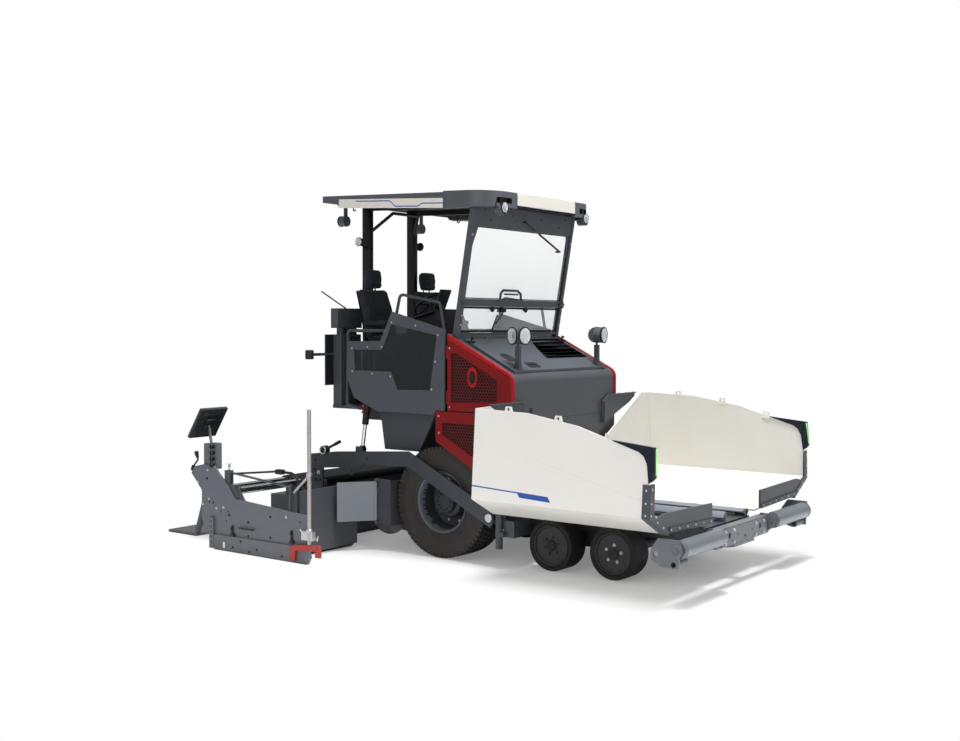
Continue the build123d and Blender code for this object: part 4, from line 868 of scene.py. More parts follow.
for door in pair("side_door_", door_red, "panel_red"):
    paint_part(door, edge_red, on_door_edge)
both_sides(cut_plate("door_rim", rim_outline, "y", 0.897, 0.029, 0.005, 3), "door_", edge_red, "panel_red")
both_sides(cut_plate("door_mesh", DOOR_WINDOW, "y", DOOR_Y, 0.0030, 0), "door_", mesh_red, "panel_red")
plate_edge = [(0, 0), (0.074, 0), (0.074, 0.010), (0.068, 0.014), (0.050, 0.014), (0.045, 0.004), (0, 0.004)]
plate = turned("door_latch_plate", plate_edge, (0, 0, 0), (0, 1, 0), 40)
plate.scale = (0.8, 1, 1.3)
plate.location = (LATCH_X, 0.9165, LATCH_Z)
both_sides(plate, "door_", edge_red, "panel_red")
# The latch's recess is painted near-black as shade.
well = turned("door_latch_well", [(0, 0), (0.045, 0), (0.043, 0.004), (0, 0.004)], (0, 0, 0), (0, 1, 0), 32)
well.scale = (0.72, 1, 1.35)
well.location = (LATCH_X, 0.9203, LATCH_Z)
both_sides(well, "door_", shade_black, "engine_dark")
paddle = block("door_latch_paddle", (0.405, 0.922, 1.735), (0.437, 0.931, 1.792))
both_sides(paddle, "door_", black, "black_plastic")
both_sides(cut_plate("cover_mesh", COVER_WINDOW, "y", DOOR_Y, 0.0030, 0), "tractor", mesh_red, "panel_red")
places = outward(BOLT_Y, ((0.15, 2.03), (0.84, 1.50), (0.15, 1.47)))
both_sides(bolt_set("door_bolts", places, 0.008, dome), "door_", zinc, "bright_grey")
places = outward(BOLT_Y, ((0.022, 1.219), (0.02, 1.38), (0.84, 1.38), (0.56, 1.38)))
both_sides(bolt_set("cover_bolts", places, 0.009, dome), "tractor", zinc, "bright_grey")
break_edges("lower_covers", door_red, "panel_red")


# --- Platform and side panels -----------------------------------------------------------------
# Folded deck under a rubber mat, with grey side panels screwed round dark tinted windows. Bent
# tubes guard the seats, each with a red stop block at its foot.
def cab_glass():
    """Dark tinted side windows, and a clear windscreen that greys a little towards its foot."""
    finish = Finish("cab_glass", "dfe3e6", 0.05)
    side_window = abs(finish.axis(1)).over(0.89, 0.005)
    lower = 1 - finish.axis(2).over(2.75, 0.55)
    haze = finish.noise(1.6, 2)
    clear = (lower * 0.16 + haze * 0.05 + 0.05) * (1 - side_window)
    tint = finish.mix("dde1e4", "15181b", side_window)
    finish.feed(Base_Color=tint, Alpha=clear + side_window * 0.86, Roughness=haze * 0.06 + 0.03)
    return finish


PANEL_SCREWS = (
    (-0.579, 2.274), (-0.273, 2.242), (0.003, 2.152), (-0.028, 1.900), (-0.073, 1.631), (-0.594, 1.741),
    (-0.836, 1.763), (-1.104, 1.781), (-1.109, 2.013), (-0.898, 2.029), (-0.710, 2.031),
)
mat_rubber = rubber_compound("deck_mat_rubber", "1a1a1b", "302e2b")
deck = break_edges("platform_deck", enamel("deck_enamel", "3d4147", 0.42), "frame_grey")
paint_part(deck, mat_rubber, lambda c, n: n.z > 0.9 and c.z > 1.40)
break_edges("side_panels", body_enamel, "machine_grey")
screws = bolt_set("panel_screws", outward(0.9195, PANEL_SCREWS), 0.0095, dome)
both_sides(screws, "tractor", zinc, "bright_grey")
nodes["glazing"].material_slots[0].material = cab_glass().material
rail_enamel = enamel("rail_enamel", "3a3e44", 0.3)
break_edges("handrails", rail_enamel, "rail_grey", 0)
stop_red = enamel("stop_red", "c22a26", 0.35)
stop_pad = joined("rail_stop_pad", [
    block("pad", (-1.055, 0.770, 1.352), (-0.990, 0.832, 1.437), 0.006),
    block("lip", (-1.060, 0.765, 1.352), (-0.985, 0.837, 1.366))])
both_sides(stop_pad, "tractor", stop_red, "panel_red")


# --- Seats ------------------------------------------------------------------------------------
# Two operator's seats in navy black cloth over foam: crowned cushion, tall back with a sewn
# middle panel, and a headrest. Each stands on a black bellows box with folded armrests.
def seat_fabric():
    """Tight woven cloth with a fine cross weave and broad soft wear."""
    finish = Finish("seat_fabric", "0c0d13", 0.82, Sheen_Weight=0.12, Specular_IOR_Level=0.2)
    weave = finish.node("ShaderNodeTexBrick", links={"Vector": finish.place(), "Scale": 140.0}, output=1)
    cloud = finish.noise(6, 4)
    finish.feed(Base_Color=finish.mix("14161c", "262934", cloud), Roughness=cloud * 0.15 + 0.72)
    finish.bump(weave + finish.noise(500, 1), 0.0005, 0.5)
    return finish


def plumped(name, outline, half_width, edge, seams, cap=0.013):
    """Foam under cloth: a closed form is remeshed, blown up a little, subdivided and sewn."""
    piece = cut_plate(name, outline, "y", SEAT_Y - half_width, 2 * half_width, edge, 3)
    worked(piece, "REMESH", mode="VOXEL", voxel_size=0.012)
    before = [vertex.co.copy() for vertex in piece.data.vertices]
    alone(piece)
    cloth = piece.modifiers.new("fill", "CLOTH")
    cloth.settings.use_pressure = True
    cloth.settings.uniform_pressure_force = 4.0
    cloth.settings.effector_weights.gravity = 0
    for step in range(1, 21):
        bpy.context.scene.frame_set(step)
    bpy.ops.object.modifier_apply(modifier=cloth.name)
    bpy.context.scene.frame_set(1)
    for vertex, old in zip(piece.data.vertices, before):
        moved = vertex.co - old
        vertex.co = old + moved * min(1, cap / max(moved.length, 1e-6))
    worked(piece, "SUBSURF", levels=1, render_levels=1)
    normals = [vertex.normal.copy() for vertex in piece.data.vertices]
    for vertex, normal in zip(piece.data.vertices, normals):
        groove = max(math.exp(-(seam(vertex.co) / SEAM_WIDTH) ** 2) for seam in seams)
        vertex.co -= normal * SEAM_DEPTH * groove
    alone(piece)
    bpy.ops.object.shade_smooth()
    return piece


def along_back(spot):
    """Height up the leaning back."""
    return (spot.z - 2.06) * 0.974 - (spot.x + 1.13) * 0.225


def beyond_panel(spot, half_width):
    """How far a point lies outside the sewn middle panel."""
    return max(0, abs(spot.y - SEAT_Y) - half_width) * 9


SEAT_Y = 0.45
SEAM_WIDTH = 0.009
SEAM_DEPTH = 0.006
cushion_side = [
    (-1.165, 2.052), (-1.150, 2.118), (-1.0, 2.133), (-0.74, 2.152), (-0.690, 2.135), (-0.684, 2.085),
    (-0.705, 2.045),
]
cushion = plumped("seat_cushion", cushion_side, 0.212, 0.022, [
    lambda p: abs(abs(p.y - SEAT_Y) - 0.130),
    lambda p: abs(p.x + 0.800) + beyond_panel(p, 0.13),
    lambda p: p.z - (2.098 + (p.x + 0.93) * 0.06)])
back_side = [
    (-1.170, 2.10), (-1.232, 2.36), (-1.303, 2.605), (-1.248, 2.632), (-1.205, 2.60), (-1.130, 2.42),
    (-1.072, 2.17), (-1.095, 2.09),
]
back = plumped("seat_back", back_side, 0.205, 0.024, [
    lambda p: abs(abs(p.y - SEAT_Y) - 0.122 + max(0, along_back(p) - 0.34) * 0.25),
    lambda p: abs(along_back(p) - 0.27) + beyond_panel(p, 0.12)])
head_side = [
    (-1.272, 2.628), (-1.298, 2.72), (-1.300, 2.800), (-1.262, 2.828), (-1.210, 2.820), (-1.192, 2.74),
    (-1.196, 2.632),
]
head = plumped("seat_headrest", head_side, 0.100, 0.024, [lambda p: abs(abs(p.y - SEAT_Y) - 0.056)], 0.010)
fabric = seat_fabric()
for soft in (cushion, back, head):
    for one in both_sides(soft, "tractor", fabric, "seat_cloth", "seats" if soft is cushion else None):
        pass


def seat_plate(outline, half_width, edge, middle=SEAT_Y, segments=2):
    """Plate of the seat's side outline, equally wide to both sides of a middle."""
    return cut_plate("plate", outline, "y", middle - half_width, 2 * half_width, edge, segments)


base_parts = [
    seat_plate([
        (-1.12, 1.42), (-1.12, 1.90), (-1.09, 1.99), (-0.86, 1.99), (-0.82, 1.90),
        (-0.82, 1.42)], 0.12, 0.008),
    seat_plate([
        (-1.17, 1.99), (-1.19, 2.06), (-1.16, 2.06), (-1.14, 2.045), (-0.72, 2.045), (-0.70, 2.02),
        (-0.72, 1.99)], 0.20, 0.008),
    seat_plate([
        (-1.18, 2.03), (-1.246, 2.36), (-1.312, 2.60), (-1.300, 2.605), (-1.236, 2.36),
        (-1.165, 2.04)], 0.19, 0.005)]
for i in range(5):
    inset = i % 2 * 0.02
    low = (-1.135 + inset, SEAT_Y - 0.14 + inset, 1.88 + i * 0.022)
    base_parts.append(block("pleat", low, (-0.805 - inset, SEAT_Y + 0.14 - inset, 1.902 + i * 0.022), 0.006))
arm_side = [(-1.17, 2.245), (-1.16, 2.285), (-0.86, 2.300), (-0.845, 2.265), (-0.87, 2.245)]
for sign in (1, -1):
    y = SEAT_Y + sign * 0.05
    base_parts.append(round_bar("stem", (-1.262, y, 2.58), (-1.250, y, 2.68), 0.007, 16))
    base_parts.append(seat_plate(arm_side, 0.022, 0.010, SEAT_Y + sign * 0.225, 3))
    near, far = SEAT_Y + sign * 0.1935, SEAT_Y + sign * 0.2295
    base_parts.append(round_bar("arm_pivot", (-1.13, near, 2.262), (-1.13, far, 2.262), 0.020, 24))
both_sides(joined("seat_base", base_parts), "tractor", black, "black_plastic")

# --- Driving console --------------------------------------------------------------------------
# Moulded black desk between the seats and the windscreen, with a steering wheel on a raked
# column, a small screen, a row of keys, two levers and a red stop knob.
HUB = Vector((-0.565, -0.35, 2.462))
RAKE = Vector((-0.6157, 0, 0.788))
RUNG = Vector((0.788, 0, 0.6157))
RIM_R = 0.0145
desk_side = [
    (-0.42, 1.42), (-0.555, 2.195), (-0.612, 2.325), (-0.585, 2.345), (-0.315, 2.412), (-0.285, 2.40),
    (-0.18, 2.20), (-0.16, 1.42),
]
rim_section = [
    (0.165 + RIM_R * math.cos(i * math.pi / 6), RIM_R * math.sin(i * math.pi / 6)) for i in range(12)]
hub_edge = [(0, -0.02), (0.036, -0.02), (0.042, 0.002), (0.030, 0.014), (0, 0.017)]
shelf_side = [(-0.60, 2.305), (-0.595, 2.325), (-0.33, 2.392), (-0.315, 2.375)]
boot_edge = [
    (0, 0), (0.026, 0), (0.022, 0.010), (0.024, 0.016), (0.015, 0.024), (0.016, 0.030), (0.008, 0.038),
    (0, 0.038),
]
lever_knob = [(0, 0), (0.012, 0), (0.016, 0.012), (0.017, 0.034), (0.012, 0.046), (0, 0.049)]
screen_case = block("screen_case", (-0.11, -0.085, -0.012), (0.11, 0.085, 0.012), 0.008, 3)
screen_case.rotation_euler = (0, math.radians(-66), 0)
screen_case.location = (-0.305, -0.46, 2.50)
console_parts = [
    cut_plate("desk", desk_side, "y", -0.555, 0.39, 0.018, 3),
    round_bar("column", (-0.470, -0.35, 2.335), (-0.560, -0.35, 2.452), 0.024),
    turned("wheel_ring", rim_section, HUB, RAKE, 64, 60),
    turned("wheel_hub", hub_edge, HUB, RAKE, 32),
    cut_plate("shelf", shelf_side, "y", -0.60, 0.48, 0.006),
    settled_here(screen_case),
    round_bar("stalk", (-0.30, -0.46, 2.39), (-0.30, -0.46, 2.45), 0.014, 16)]
for t in (math.pi / 2, -math.pi / 2, math.pi):
    tip = HUB + (RUNG * math.cos(t) + Vector((0, math.sin(t), 0))) * 0.16
    console_parts.append(round_bar("spoke", HUB, tip, 0.0095, 16))
for x, y in ((-0.50, -0.215), (-0.42, -0.50)):
    z = 2.34 + (x + 0.55) * 0.25
    console_parts.append(turned("boot", boot_edge, (x, y, z), (0, 0, 1), 24))
    console_parts.append(round_bar("stem", (x, y, z + 0.02), (x - 0.006, y, z + 0.080), 0.006, 12))
    console_parts.append(turned("knob", lever_knob, (x - 0.006, y, z + 0.075), (-0.1, 0, 1), 20))
settle(joined("console_finished", console_parts), "tractor", black, "black_plastic", "console")
stop_edge = [(0, 0), (0.014, 0), (0.014, 0.012), (0.022, 0.014), (0.023, 0.024), (0.017, 0.030), (0, 0.032)]
stop_knob = turned("console_stop_knob", stop_edge, (-0.565, -0.50, 2.320), (-0.25, 0, 1), 28)
settle(stop_knob, "tractor", stop_red, "panel_red")
keys = []
for i in range(5):
    x, z = -0.47 + i * 0.030, 2.354 + i * 0.0075
    keys.append(block("key", (x, -0.545, z), (x + 0.022, -0.523, z + 0.008), 0.002))
settle(joined("console_keys", keys), "tractor", zinc, "bright_grey")


# --- Roof and windscreen frame ----------------------------------------------------------------
# Grey moulded roof on two black rear posts and the windscreen's own frame. White panels, the
# long ones with a blue line that steps down and up again; lamps in the front pockets, at the
# rear corners and on the posts.
def roof_white():
    """White panel enamel with a thin blue line on the two long sides."""
    finish = enamel("roof_white", "cfccc4", 0.34, 0.02)
    x = finish.axis(0)
    drop = (x + 0.55).over(0, 0.05) * 0.054 - (x + 0.20).over(0, 0.035) * 0.027 + 0.018
    off = abs(3.4515 - x * 0.0501 - finish.axis(2) - drop)
    line = (1 - off.over(0.0055, 0.0008)) * x.over(-1.03, 0.001) * abs(finish.axis(1)).over(0.92, 0.002)
    finish.feed(Base_Color=finish.mix(finish.painted, "2b4f9e", line))
    return finish


def roof_edge(x):
    """Height of the roof's straight top edge, which falls towards the front."""
    return 3.510 - 0.0355 * x


def raise_roof(piece):
    """Raises the sides to the top edge, with the lower edge rising to a blunt rear end."""
    for x in (-1.30, -1.269):
        bpy.ops.mesh.select_all(action="SELECT")
        bpy.ops.mesh.bisect(plane_co=(x, 0, 0), plane_no=(1, 0, 0))
    mesh = bmesh.from_edit_mesh(piece.data)
    for vertex in mesh.verts:
        x, y, z = vertex.co
        if abs(z - 3.400) < 0.0008:
            rise = 0.438 - (x + 1.269) * 0.0235
            if x < -1.269:
                rise = 0.470 - (x + 1.3) * 0.135 if x < -1.29 else 0.438
            vertex.co.z = 3 + rise
        elif abs(z - 3.450) < 0.0008 and x < 0.60:
            vertex.co.z = 3.450 + 0.027 * (0.58 - x)
        elif abs(z - 3.515) < 0.0008 and x > 0.07:
            vertex.co.z = roof_edge(x) + 0.010
        elif z > 3.4512:
            vertex.co.z = roof_edge(x) + 0.004 * (z - 3.452) / 0.093
    bmesh.update_edit_mesh(piece.data)


def without_rear(piece):
    """Takes the rear posts and their braces off the frame, and lifts the beams' rear ends."""
    mesh = bmesh.from_edit_mesh(piece.data)
    for face in mesh.faces:
        face.select_set(face.calc_center_median().x < -1.3)
    bmesh.update_edit_mesh(piece.data)
    bpy.ops.mesh.delete(type="FACE")
    bpy.ops.mesh.select_all(action="SELECT")
    bpy.ops.mesh.delete_loose()
    bpy.ops.mesh.select_all(action="SELECT")
    bpy.ops.mesh.fill_holes(sides=8)
    mesh = bmesh.from_edit_mesh(piece.data)
    for vertex in mesh.verts:
        if vertex.co.x < -1.25:
            vertex.co.z += 0.05
    bmesh.update_edit_mesh(piece.data)


def in_roof_shadow(c, n):
    """Whether a face is in one of the roof's front lamp pockets or under it, painted black as shade."""
    pocket = 0.55 < c.x < 0.632 and 0.595 < abs(c.y) < 0.795 and 3.38 < c.z < 3.445
    return pocket or (n.z < -0.9 and c.z > 3.43)


def tube(turns, radius, sides, ball, edge=0.0015):
    """Bent tube: bars from turn to turn, with a ball of a given size and fineness in each bend."""
    full, half, steps = ball
    outline = [(0.0001, -full), (half, -half), (full, 0), (half, half), (0.0001, full)]
    bars = [round_bar("bar", start, end, radius, sides, edge) for start, end in zip(turns, turns[1:])]
    return bars + [turned("bend", outline, spot, (0, 0, 1), steps, 60) for spot in turns[1:-1]]


post_black = enamel("post_black", "0d0e10", 0.42)
roof = break_edges("roof_shell", enamel("roof_enamel", "4b4f55", 0.34), "roof_grey", 0.004, raise_roof)
paint_part(roof, black, in_roof_shadow)
break_edges("roof_trim", roof_white(), "trim_white", 0.0025)
cab_frame = break_edges("roof_frame", body_enamel, "machine_grey", 0.003, without_rear)
paint_part(cab_frame, post_black, lambda c, n: c.x < 0.30 and c.z > 3.39)
rear_post = joined("rear_post", [
    block("post", (-1.445, 0.335, 1.42), (-1.335, 0.395, 3.515), 0.008),
    block("foot", (-1.475, 0.31, 1.42), (-1.315, 0.42, 1.438)),
    round_bar("lamp_arm", (-1.39, 0.392, 3.06), (-1.39, 0.472, 3.09), 0.009, 16)])
both_sides(rear_post, "tractor", post_black, "machine_grey")
hoop_turns = [
    (-1.350, -0.358, 3.232), (-1.175, -0.205, 3.428), (-1.175, 0.205, 3.428), (-1.350, 0.358, 3.232)]
hoop = joined("roof_hoop", tube(hoop_turns, 0.017, 24, (0.017, 0.012, 20)))
settle(hoop, "tractor", post_black, "machine_grey")
for side, sign in SIDES:
    lamp_pod("roof_lamp_" + side, (0.636, sign * 0.72, 3.345), (1, 0, -0.05), 0.050, 0.05, "tractor")
    lamp_pod("rear_roof_lamp_" + side, (-1.528, sign * 0.62, 3.33), (-1, 0, 0), 0.054, 0.06, "tractor")
    lamp_pod("post_lamp_" + side, (-1.39, sign * 0.500, 3.12), (0, sign, 0), 0.044, 0.045, "tractor")
bracket_side = [
    (0.560, 3.46), (0.560, 3.30), (0.575, 3.282), (0.655, 3.282), (0.655, 3.292), (0.585, 3.292),
    (0.585, 3.46),
]
bracket = cut_plate("roof_lamp_bracket", bracket_side, "y", 0.708, 0.024)
both_sides(bracket, "tractor", post_black, "machine_grey")
for name, x, z in (("front", -0.02, 3.372), ("rear", -1.14, 3.405)):
    hook = joined("roof_hook_" + name, [
        round_bar("shank", (x, 0.86, z + 0.08), (x, 0.86, z), 0.006, 12),
        round_bar("toe", (x - 0.004, 0.86, z + 0.003), (x + 0.026, 0.86, z - 0.006), 0.006, 12),
        round_bar("tip", (x + 0.024, 0.86, z - 0.008), (x + 0.030, 0.86, z + 0.012), 0.006, 12)])
    both_sides(hook, "tractor", dark_bolt, "engine_dark")

SCREEN_FOOT = (0.191, 2.22)
SCREEN_LEAN = 0.17184
SCREEN_OUT = (1, 0, -0.17)


def on_screen(y, z, off=0.03):
    """Point on the windscreen's plane, a little in front of it."""
    return (SCREEN_FOOT[0] + (z - SCREEN_FOOT[1]) * SCREEN_LEAN + off, y, z)


def against_screen(piece, off):
    """Leans an upright piece against the windscreen."""
    for vertex in piece.data.vertices:
        vertex.co.x += on_screen(0, vertex.co.z, off)[0]
    return piece


strut = joined("screen_gas_strut", [
    round_bar("barrel", on_screen(0.22, 3.165, 0.045), on_screen(0.62, 3.018, 0.045), 0.010, 20),
    round_bar("rod", on_screen(-0.03, 3.262, 0.045), on_screen(0.24, 3.158, 0.045), 0.005, 16),
    round_bar("end", on_screen(0.64, 3.01, 0.0), on_screen(0.64, 3.01, 0.055), 0.010, 16),
    round_bar("end", on_screen(-0.04, 3.266, 0.02), on_screen(-0.04, 3.266, 0.055), 0.009, 16)])
settle(strut, "tractor", dark_bolt, "engine_dark")
handle_turns = [(-0.30, 2.472), (-0.30, 2.560), (-0.27, 2.590), (-0.02, 2.590), (0.04, 2.560), (0.06, 2.500)]
handle = tube([on_screen(y, z, 0.05) for y, z in handle_turns], 0.012, 16, (0.012, 0.0085, 16))
plate_edge = [(-0.24, 2.545), (-0.24, 2.562), (0.0, 2.562), (0.0, 2.545)]
handle.append(cut_plate("plate", plate_edge, "x", on_screen(0, 2.55, 0.045)[0], 0.010))
settle(joined("screen_handle", handle), "tractor", rail_enamel, "rail_grey")
wiper = joined("screen_wiper", [
    round_bar("spindle", on_screen(-0.19, 2.395, 0.0), on_screen(-0.19, 2.395, 0.055), 0.018, 20),
    block("motor", (0.20, -0.235, 2.375), (0.262, -0.155, 2.425), 0.008),
    round_bar("arm", on_screen(-0.19, 2.395, 0.045), on_screen(-0.30, 2.26, 0.038), 0.007, 12),
    round_bar("blade", on_screen(-0.272, 2.35, 0.026), on_screen(-0.325, 2.20, 0.022), 0.008, 12),
    round_bar("arm_tip", on_screen(-0.30, 2.26, 0.038), on_screen(-0.298, 2.275, 0.020), 0.006, 12)])
settle(wiper, "tractor", black, "black_plastic")
knob_edge = [(0, 0), (0.012, 0), (0.012, 0.020), (0.026, 0.022), (0.028, 0.034), (0.022, 0.042), (0, 0.044)]
knobs = [turned("knob", knob_edge, on_screen(y, 2.408, 0.0), SCREEN_OUT, 28) for y in (-0.376, 0.198)]
settle(joined("screen_knobs", knobs), "tractor", black, "black_plastic")
SEAL_Y = 0.833
seal = []
for z_low, z_high, inset in ((2.178, 2.427, 0.020), (2.503, 3.182, 0.008)):
    for y_from, y_to, z_from, z_to in (
        (-SEAL_Y, SEAL_Y, z_low, z_low + inset), (-SEAL_Y, SEAL_Y, z_high - inset, z_high),
        (-SEAL_Y, inset - SEAL_Y, z_low, z_high), (SEAL_Y - inset, SEAL_Y, z_low, z_high),
    ):
        corners = [(y_from, z_from), (y_to, z_from), (y_to, z_to), (y_from, z_to)]
        seal.append(against_screen(cut_plate("seal", corners, "x", 0, 0.010, 0.002, 1), 0.003))
settle(joined("screen_seals", seal), "tractor", shade_black, "engine_dark")
gusset = cut_plate("screen_gusset", [(0.838, 3.19), (0.838, 2.93), (0.760, 3.19)], "x", 0, 0.006, 0.001)
both_sides(against_screen(gusset, 0.010), "tractor", body_enamel, "machine_grey")
valance = [(sign * y, z) for sign in (1, -1) for y, z in ((0.594, 3.254), (0.255, 3.31), (0.70, 3.34))]
places = [(on_screen(y, z, 0.0215), SCREEN_OUT) for y, z in valance + [(-0.052, 3.325)]]
settle(bolt_set("valance_bolts", places, 0.010, dome), "tractor", dark_bolt, "engine_dark")
places = [(on_screen(0.857, z, 0.028), SCREEN_OUT) for z in (2.25, 2.34, 2.47, 3.10)]
both_sides(bolt_set("screen_post_bolts", places, 0.010), "tractor", zinc, "bright_grey")
x = on_screen(0, 2.44)[0]
hinge = joined("screen_hinge", [
    round_bar("pin", on_screen(0.80, 2.465, 0.034), on_screen(0.885, 2.465, 0.034), 0.014, 20),
    block("leaf", (x - 0.01, 0.84, 2.430), (x + 0.012, 0.885, 2.500))])
both_sides(hinge, "tractor", rail_enamel, "rail_grey")

# --- Rear cabinets ----------------------------------------------------------------------------
# Steel lockers behind the seats, with a black rubber-faced panel outside. Each side has two rows
# of switches, a cable gland and a lamp cap.
rear_black = Finish("panel_rubber", "0d0e10", 0.5)
rear_black.feed(Base_Color=rear_black.mix("0b0c0e", "141517", rear_black.noise(4, 3)))


def rubber_faced(c, n):
    """Whether a face of the cabinets is rubber: the panel outside, the ends and the top."""
    return (c.x < -1.4985 and 1.60 < c.z < 2.16) or abs(c.y) > 0.93 or c.z > 2.425


paint_part(break_edges("rear_cabinets", body_enamel, "machine_grey", 0.004), rear_black, rubber_faced)
lamp_edge = [(0, 0), (0.030, 0), (0.043, 0.010), (0.044, 0.080), (0.036, 0.094), (0, 0.096)]
gear = [
    round_bar("gland", (-1.40, 0.74, 2.195), (-1.37, 0.74, 2.195), 0.018, 20),
    turned("lamp_cap", lamp_edge, (-1.508, 1.12, 1.897), (0, 0, 1), 32)]
gear += [
    block("switch", (-1.398, y, z), (-1.378, y + 0.028, z + 0.024), 0.004)
    for y in (0.56, 0.62, 0.68) for z in (2.16, 2.10)]
both_sides(joined("cabinet_fittings", gear), "tractor", black, "black_plastic")

# --- Tow arms and lift cylinders --------------------------------------------------------------
# Cut-plate arms in satin grey enamel, pinned to the frame with bright pins. Two gloss black
# hydraulic cylinders with chromed rods hang the screed from the platform.
ARM_Y = 0.9215
chrome = Finish("hard_chrome", "cfd2d5", 0.14, Metallic=1.0)
chrome.feed(Roughness=chrome.noise(14, 3) * 0.12 + 0.08)


def lever_faces(c, n):
    """Whether a face belongs to the vibrator's hub or its lever."""
    lever = -1.48 < c.x < -1.28 and c.z > 0.958 and abs(abs(c.y) - 0.926) < 0.014
    return lever or math.hypot(c.x + 1.5, c.z - 0.955) < 0.047


arms = break_edges("tow_arms", enamel("arm_enamel", "363a3f", 0.36), "frame_grey")
paint_part(arms, dark_bolt, lever_faces)
break_edges("lift_barrels", post_black, "cylinder_black", 0.002)
break_edges("lift_rods", chrome, "chrome_rod", 0)
pin_edge = [
    (0, 0.934), (0.040, 0.934), (0.040, 0.940), (0.034, 0.944), (0.014, 0.944), (0.012, 0.949),
    (0, 0.949),
]
both_sides(turned("tow_pin_cap", pin_edge, (0.62, 0, 0.458), (0, 1, 0), 36), "tractor", zinc, "bright_grey")
rim_edge = [(0.030, 0.938), (0.0455, 0.938), (0.0455, 0.945), (0.041, 0.948), (0.033, 0.948), (0.030, 0.944)]
eye_edge = [(0.008, 0.920), (0.021, 0.920), (0.021, 0.928), (0.018, 0.930), (0.010, 0.930), (0.008, 0.927)]
cap = joined("vibrator_cap", [
    turned("rim", rim_edge, (-1.5, 0, 0.955), (0, 1, 0), 40),
    turned("eye", eye_edge, (-1.576, 0, 0.718), (0, 1, 0), 28)])
both_sides(cap, "screed", zinc, "bright_grey")
lever_grip = round_bar("vibrator_grip", (-1.345, 0.926, 1.022), (-1.268, 0.926, 1.058), 0.017, 20, 0.004)
both_sides(lever_grip, "screed", black, "black_plastic")
feet = (-1.625, 0.530), (-1.555, 0.530), (-1.625, 0.640), (-1.555, 0.640), (-1.625, 0.845), (-1.640, 0.745)
both_sides(bolt_set("arm_foot_bolts", outward(ARM_Y, feet), 0.013), "screed", dark_bolt, "frame_grey")
rivets = bolt_set("arm_rivets", outward(ARM_Y, ((-1.115, 0.775), (-0.90, 0.905))), 0.010, dome)
both_sides(rivets, "screed", dark_bolt, "frame_grey")


# --- Screed -----------------------------------------------------------------------------------
# Heated box with a worn steel sole, guide tubes across its back, chromed rods that carry the
# extensions, and a chequered walkway for the crew behind.
def chequer_plate():
    """Raised lozenges that turn a quarter from one cell to the next, worn bright on top."""
    finish = enamel("chequer_plate", "4a4d51", 0.42)
    cells = [finish.axis(i) / LOZENGE_PITCH for i in (0, 1)]
    whole = [cell.maths("FLOOR", cell) for cell in cells]
    across, along = [cell - floor_of - 0.5 for cell, floor_of in zip(cells, whole)]
    odd = (whole[0] + whole[1]).maths("PINGPONG", whole[0] + whole[1], 1)
    rising, falling = abs(across + along), abs(across - along)
    near = rising * 4.2 + falling * 1.1
    turned_near = falling * 4.2 + rising * 1.1
    lozenge = 1 - (near * (1 - odd) + turned_near * odd).over(0.8, 0.2)
    finish.feed(Base_Color=finish.mix(finish.painted, "8b8d8f", lozenge * finish.noise(5, 3) * 1.1))
    finish.bump(lozenge, 0.004, 0.8)
    return finish


def rod_gap(spot, rods):
    """Distance from the nearest of some guide rods, seen from the side."""
    return min(math.hypot(spot.x - x, spot.z - ROD_Z) for x in rods)


LOZENGE_PITCH = 0.032
ROD_Z = 0.59
RODS = {"left": (-1.76, -2.0), "right": (-1.88, -2.12)}
screed_enamel = enamel("screed_enamel", "464a50", 0.36)
tread_plate = chequer_plate()
sole_steel = worn_steel("sole_steel", "5b5d60", "8f9193")
alloy = Finish("anodised_alloy", "a9a4a4", 0.34, Metallic=0.5)
alloy.feed(Base_Color=alloy.mix("9b9696", "b4afae", alloy.noise(6, 3, (1, 1, 0.2))))
base = break_edges("screed_base", screed_enamel, "frame_grey")
paint_part(base, tread_plate, lambda c, n: n.z > 0.9 and c.x < -2.32 and c.z < 0.13)
paint_part(base, sole_steel, lambda c, n: c.z < 0.012 and n.z < -0.5)
paint_part(base, black, lambda c, n: abs(rod_gap(c, RODS["left"] + RODS["right"]) - 0.05) < 0.006)
ring_edge = [(0.0365, 0), (0.052, 0), (0.052, 0.016), (0.048, 0.020), (0.0365, 0.020)]
for side, sign in SIDES:
    body, rods = "extension_" + side, RODS[side]
    wide = break_edges(body, screed_enamel, "frame_grey")
    paint_part(wide, tread_plate, lambda c, n: n.z > 0.9 and c.x < -2.40 and c.z < 0.13)
    paint_part(wide, sole_steel, lambda c, n: c.z < 0.012 and n.z < -0.5)
    paint_part(wide, chrome, lambda c, n: rod_gap(c, rods) < 0.0375 and 0.69 < abs(c.y) < 1.769)
    paint_part(wide, alloy, lambda c, n: 0.0375 < rod_gap(c, rods) < 0.075 and abs(c.y) > 1.765)
    for i, x in enumerate(rods):
        collar = turned(f"rod_ring_{i}_{side}", ring_edge, (x, sign * 1.748, ROD_Z), (0, sign, 0), 40)
        settle(collar, body, dark_bolt, "frame_grey")
        places = [
            ((x + dx, sign * 1.7695, ROD_Z + dz), (0, -sign, 0))
            for dx in (-0.038, 0.038) for dz in (-0.036, 0.036)]
        settle(bolt_set(f"rod_end_bolts_{i}_{side}", places, 0.007), body, dark_bolt, "frame_grey")

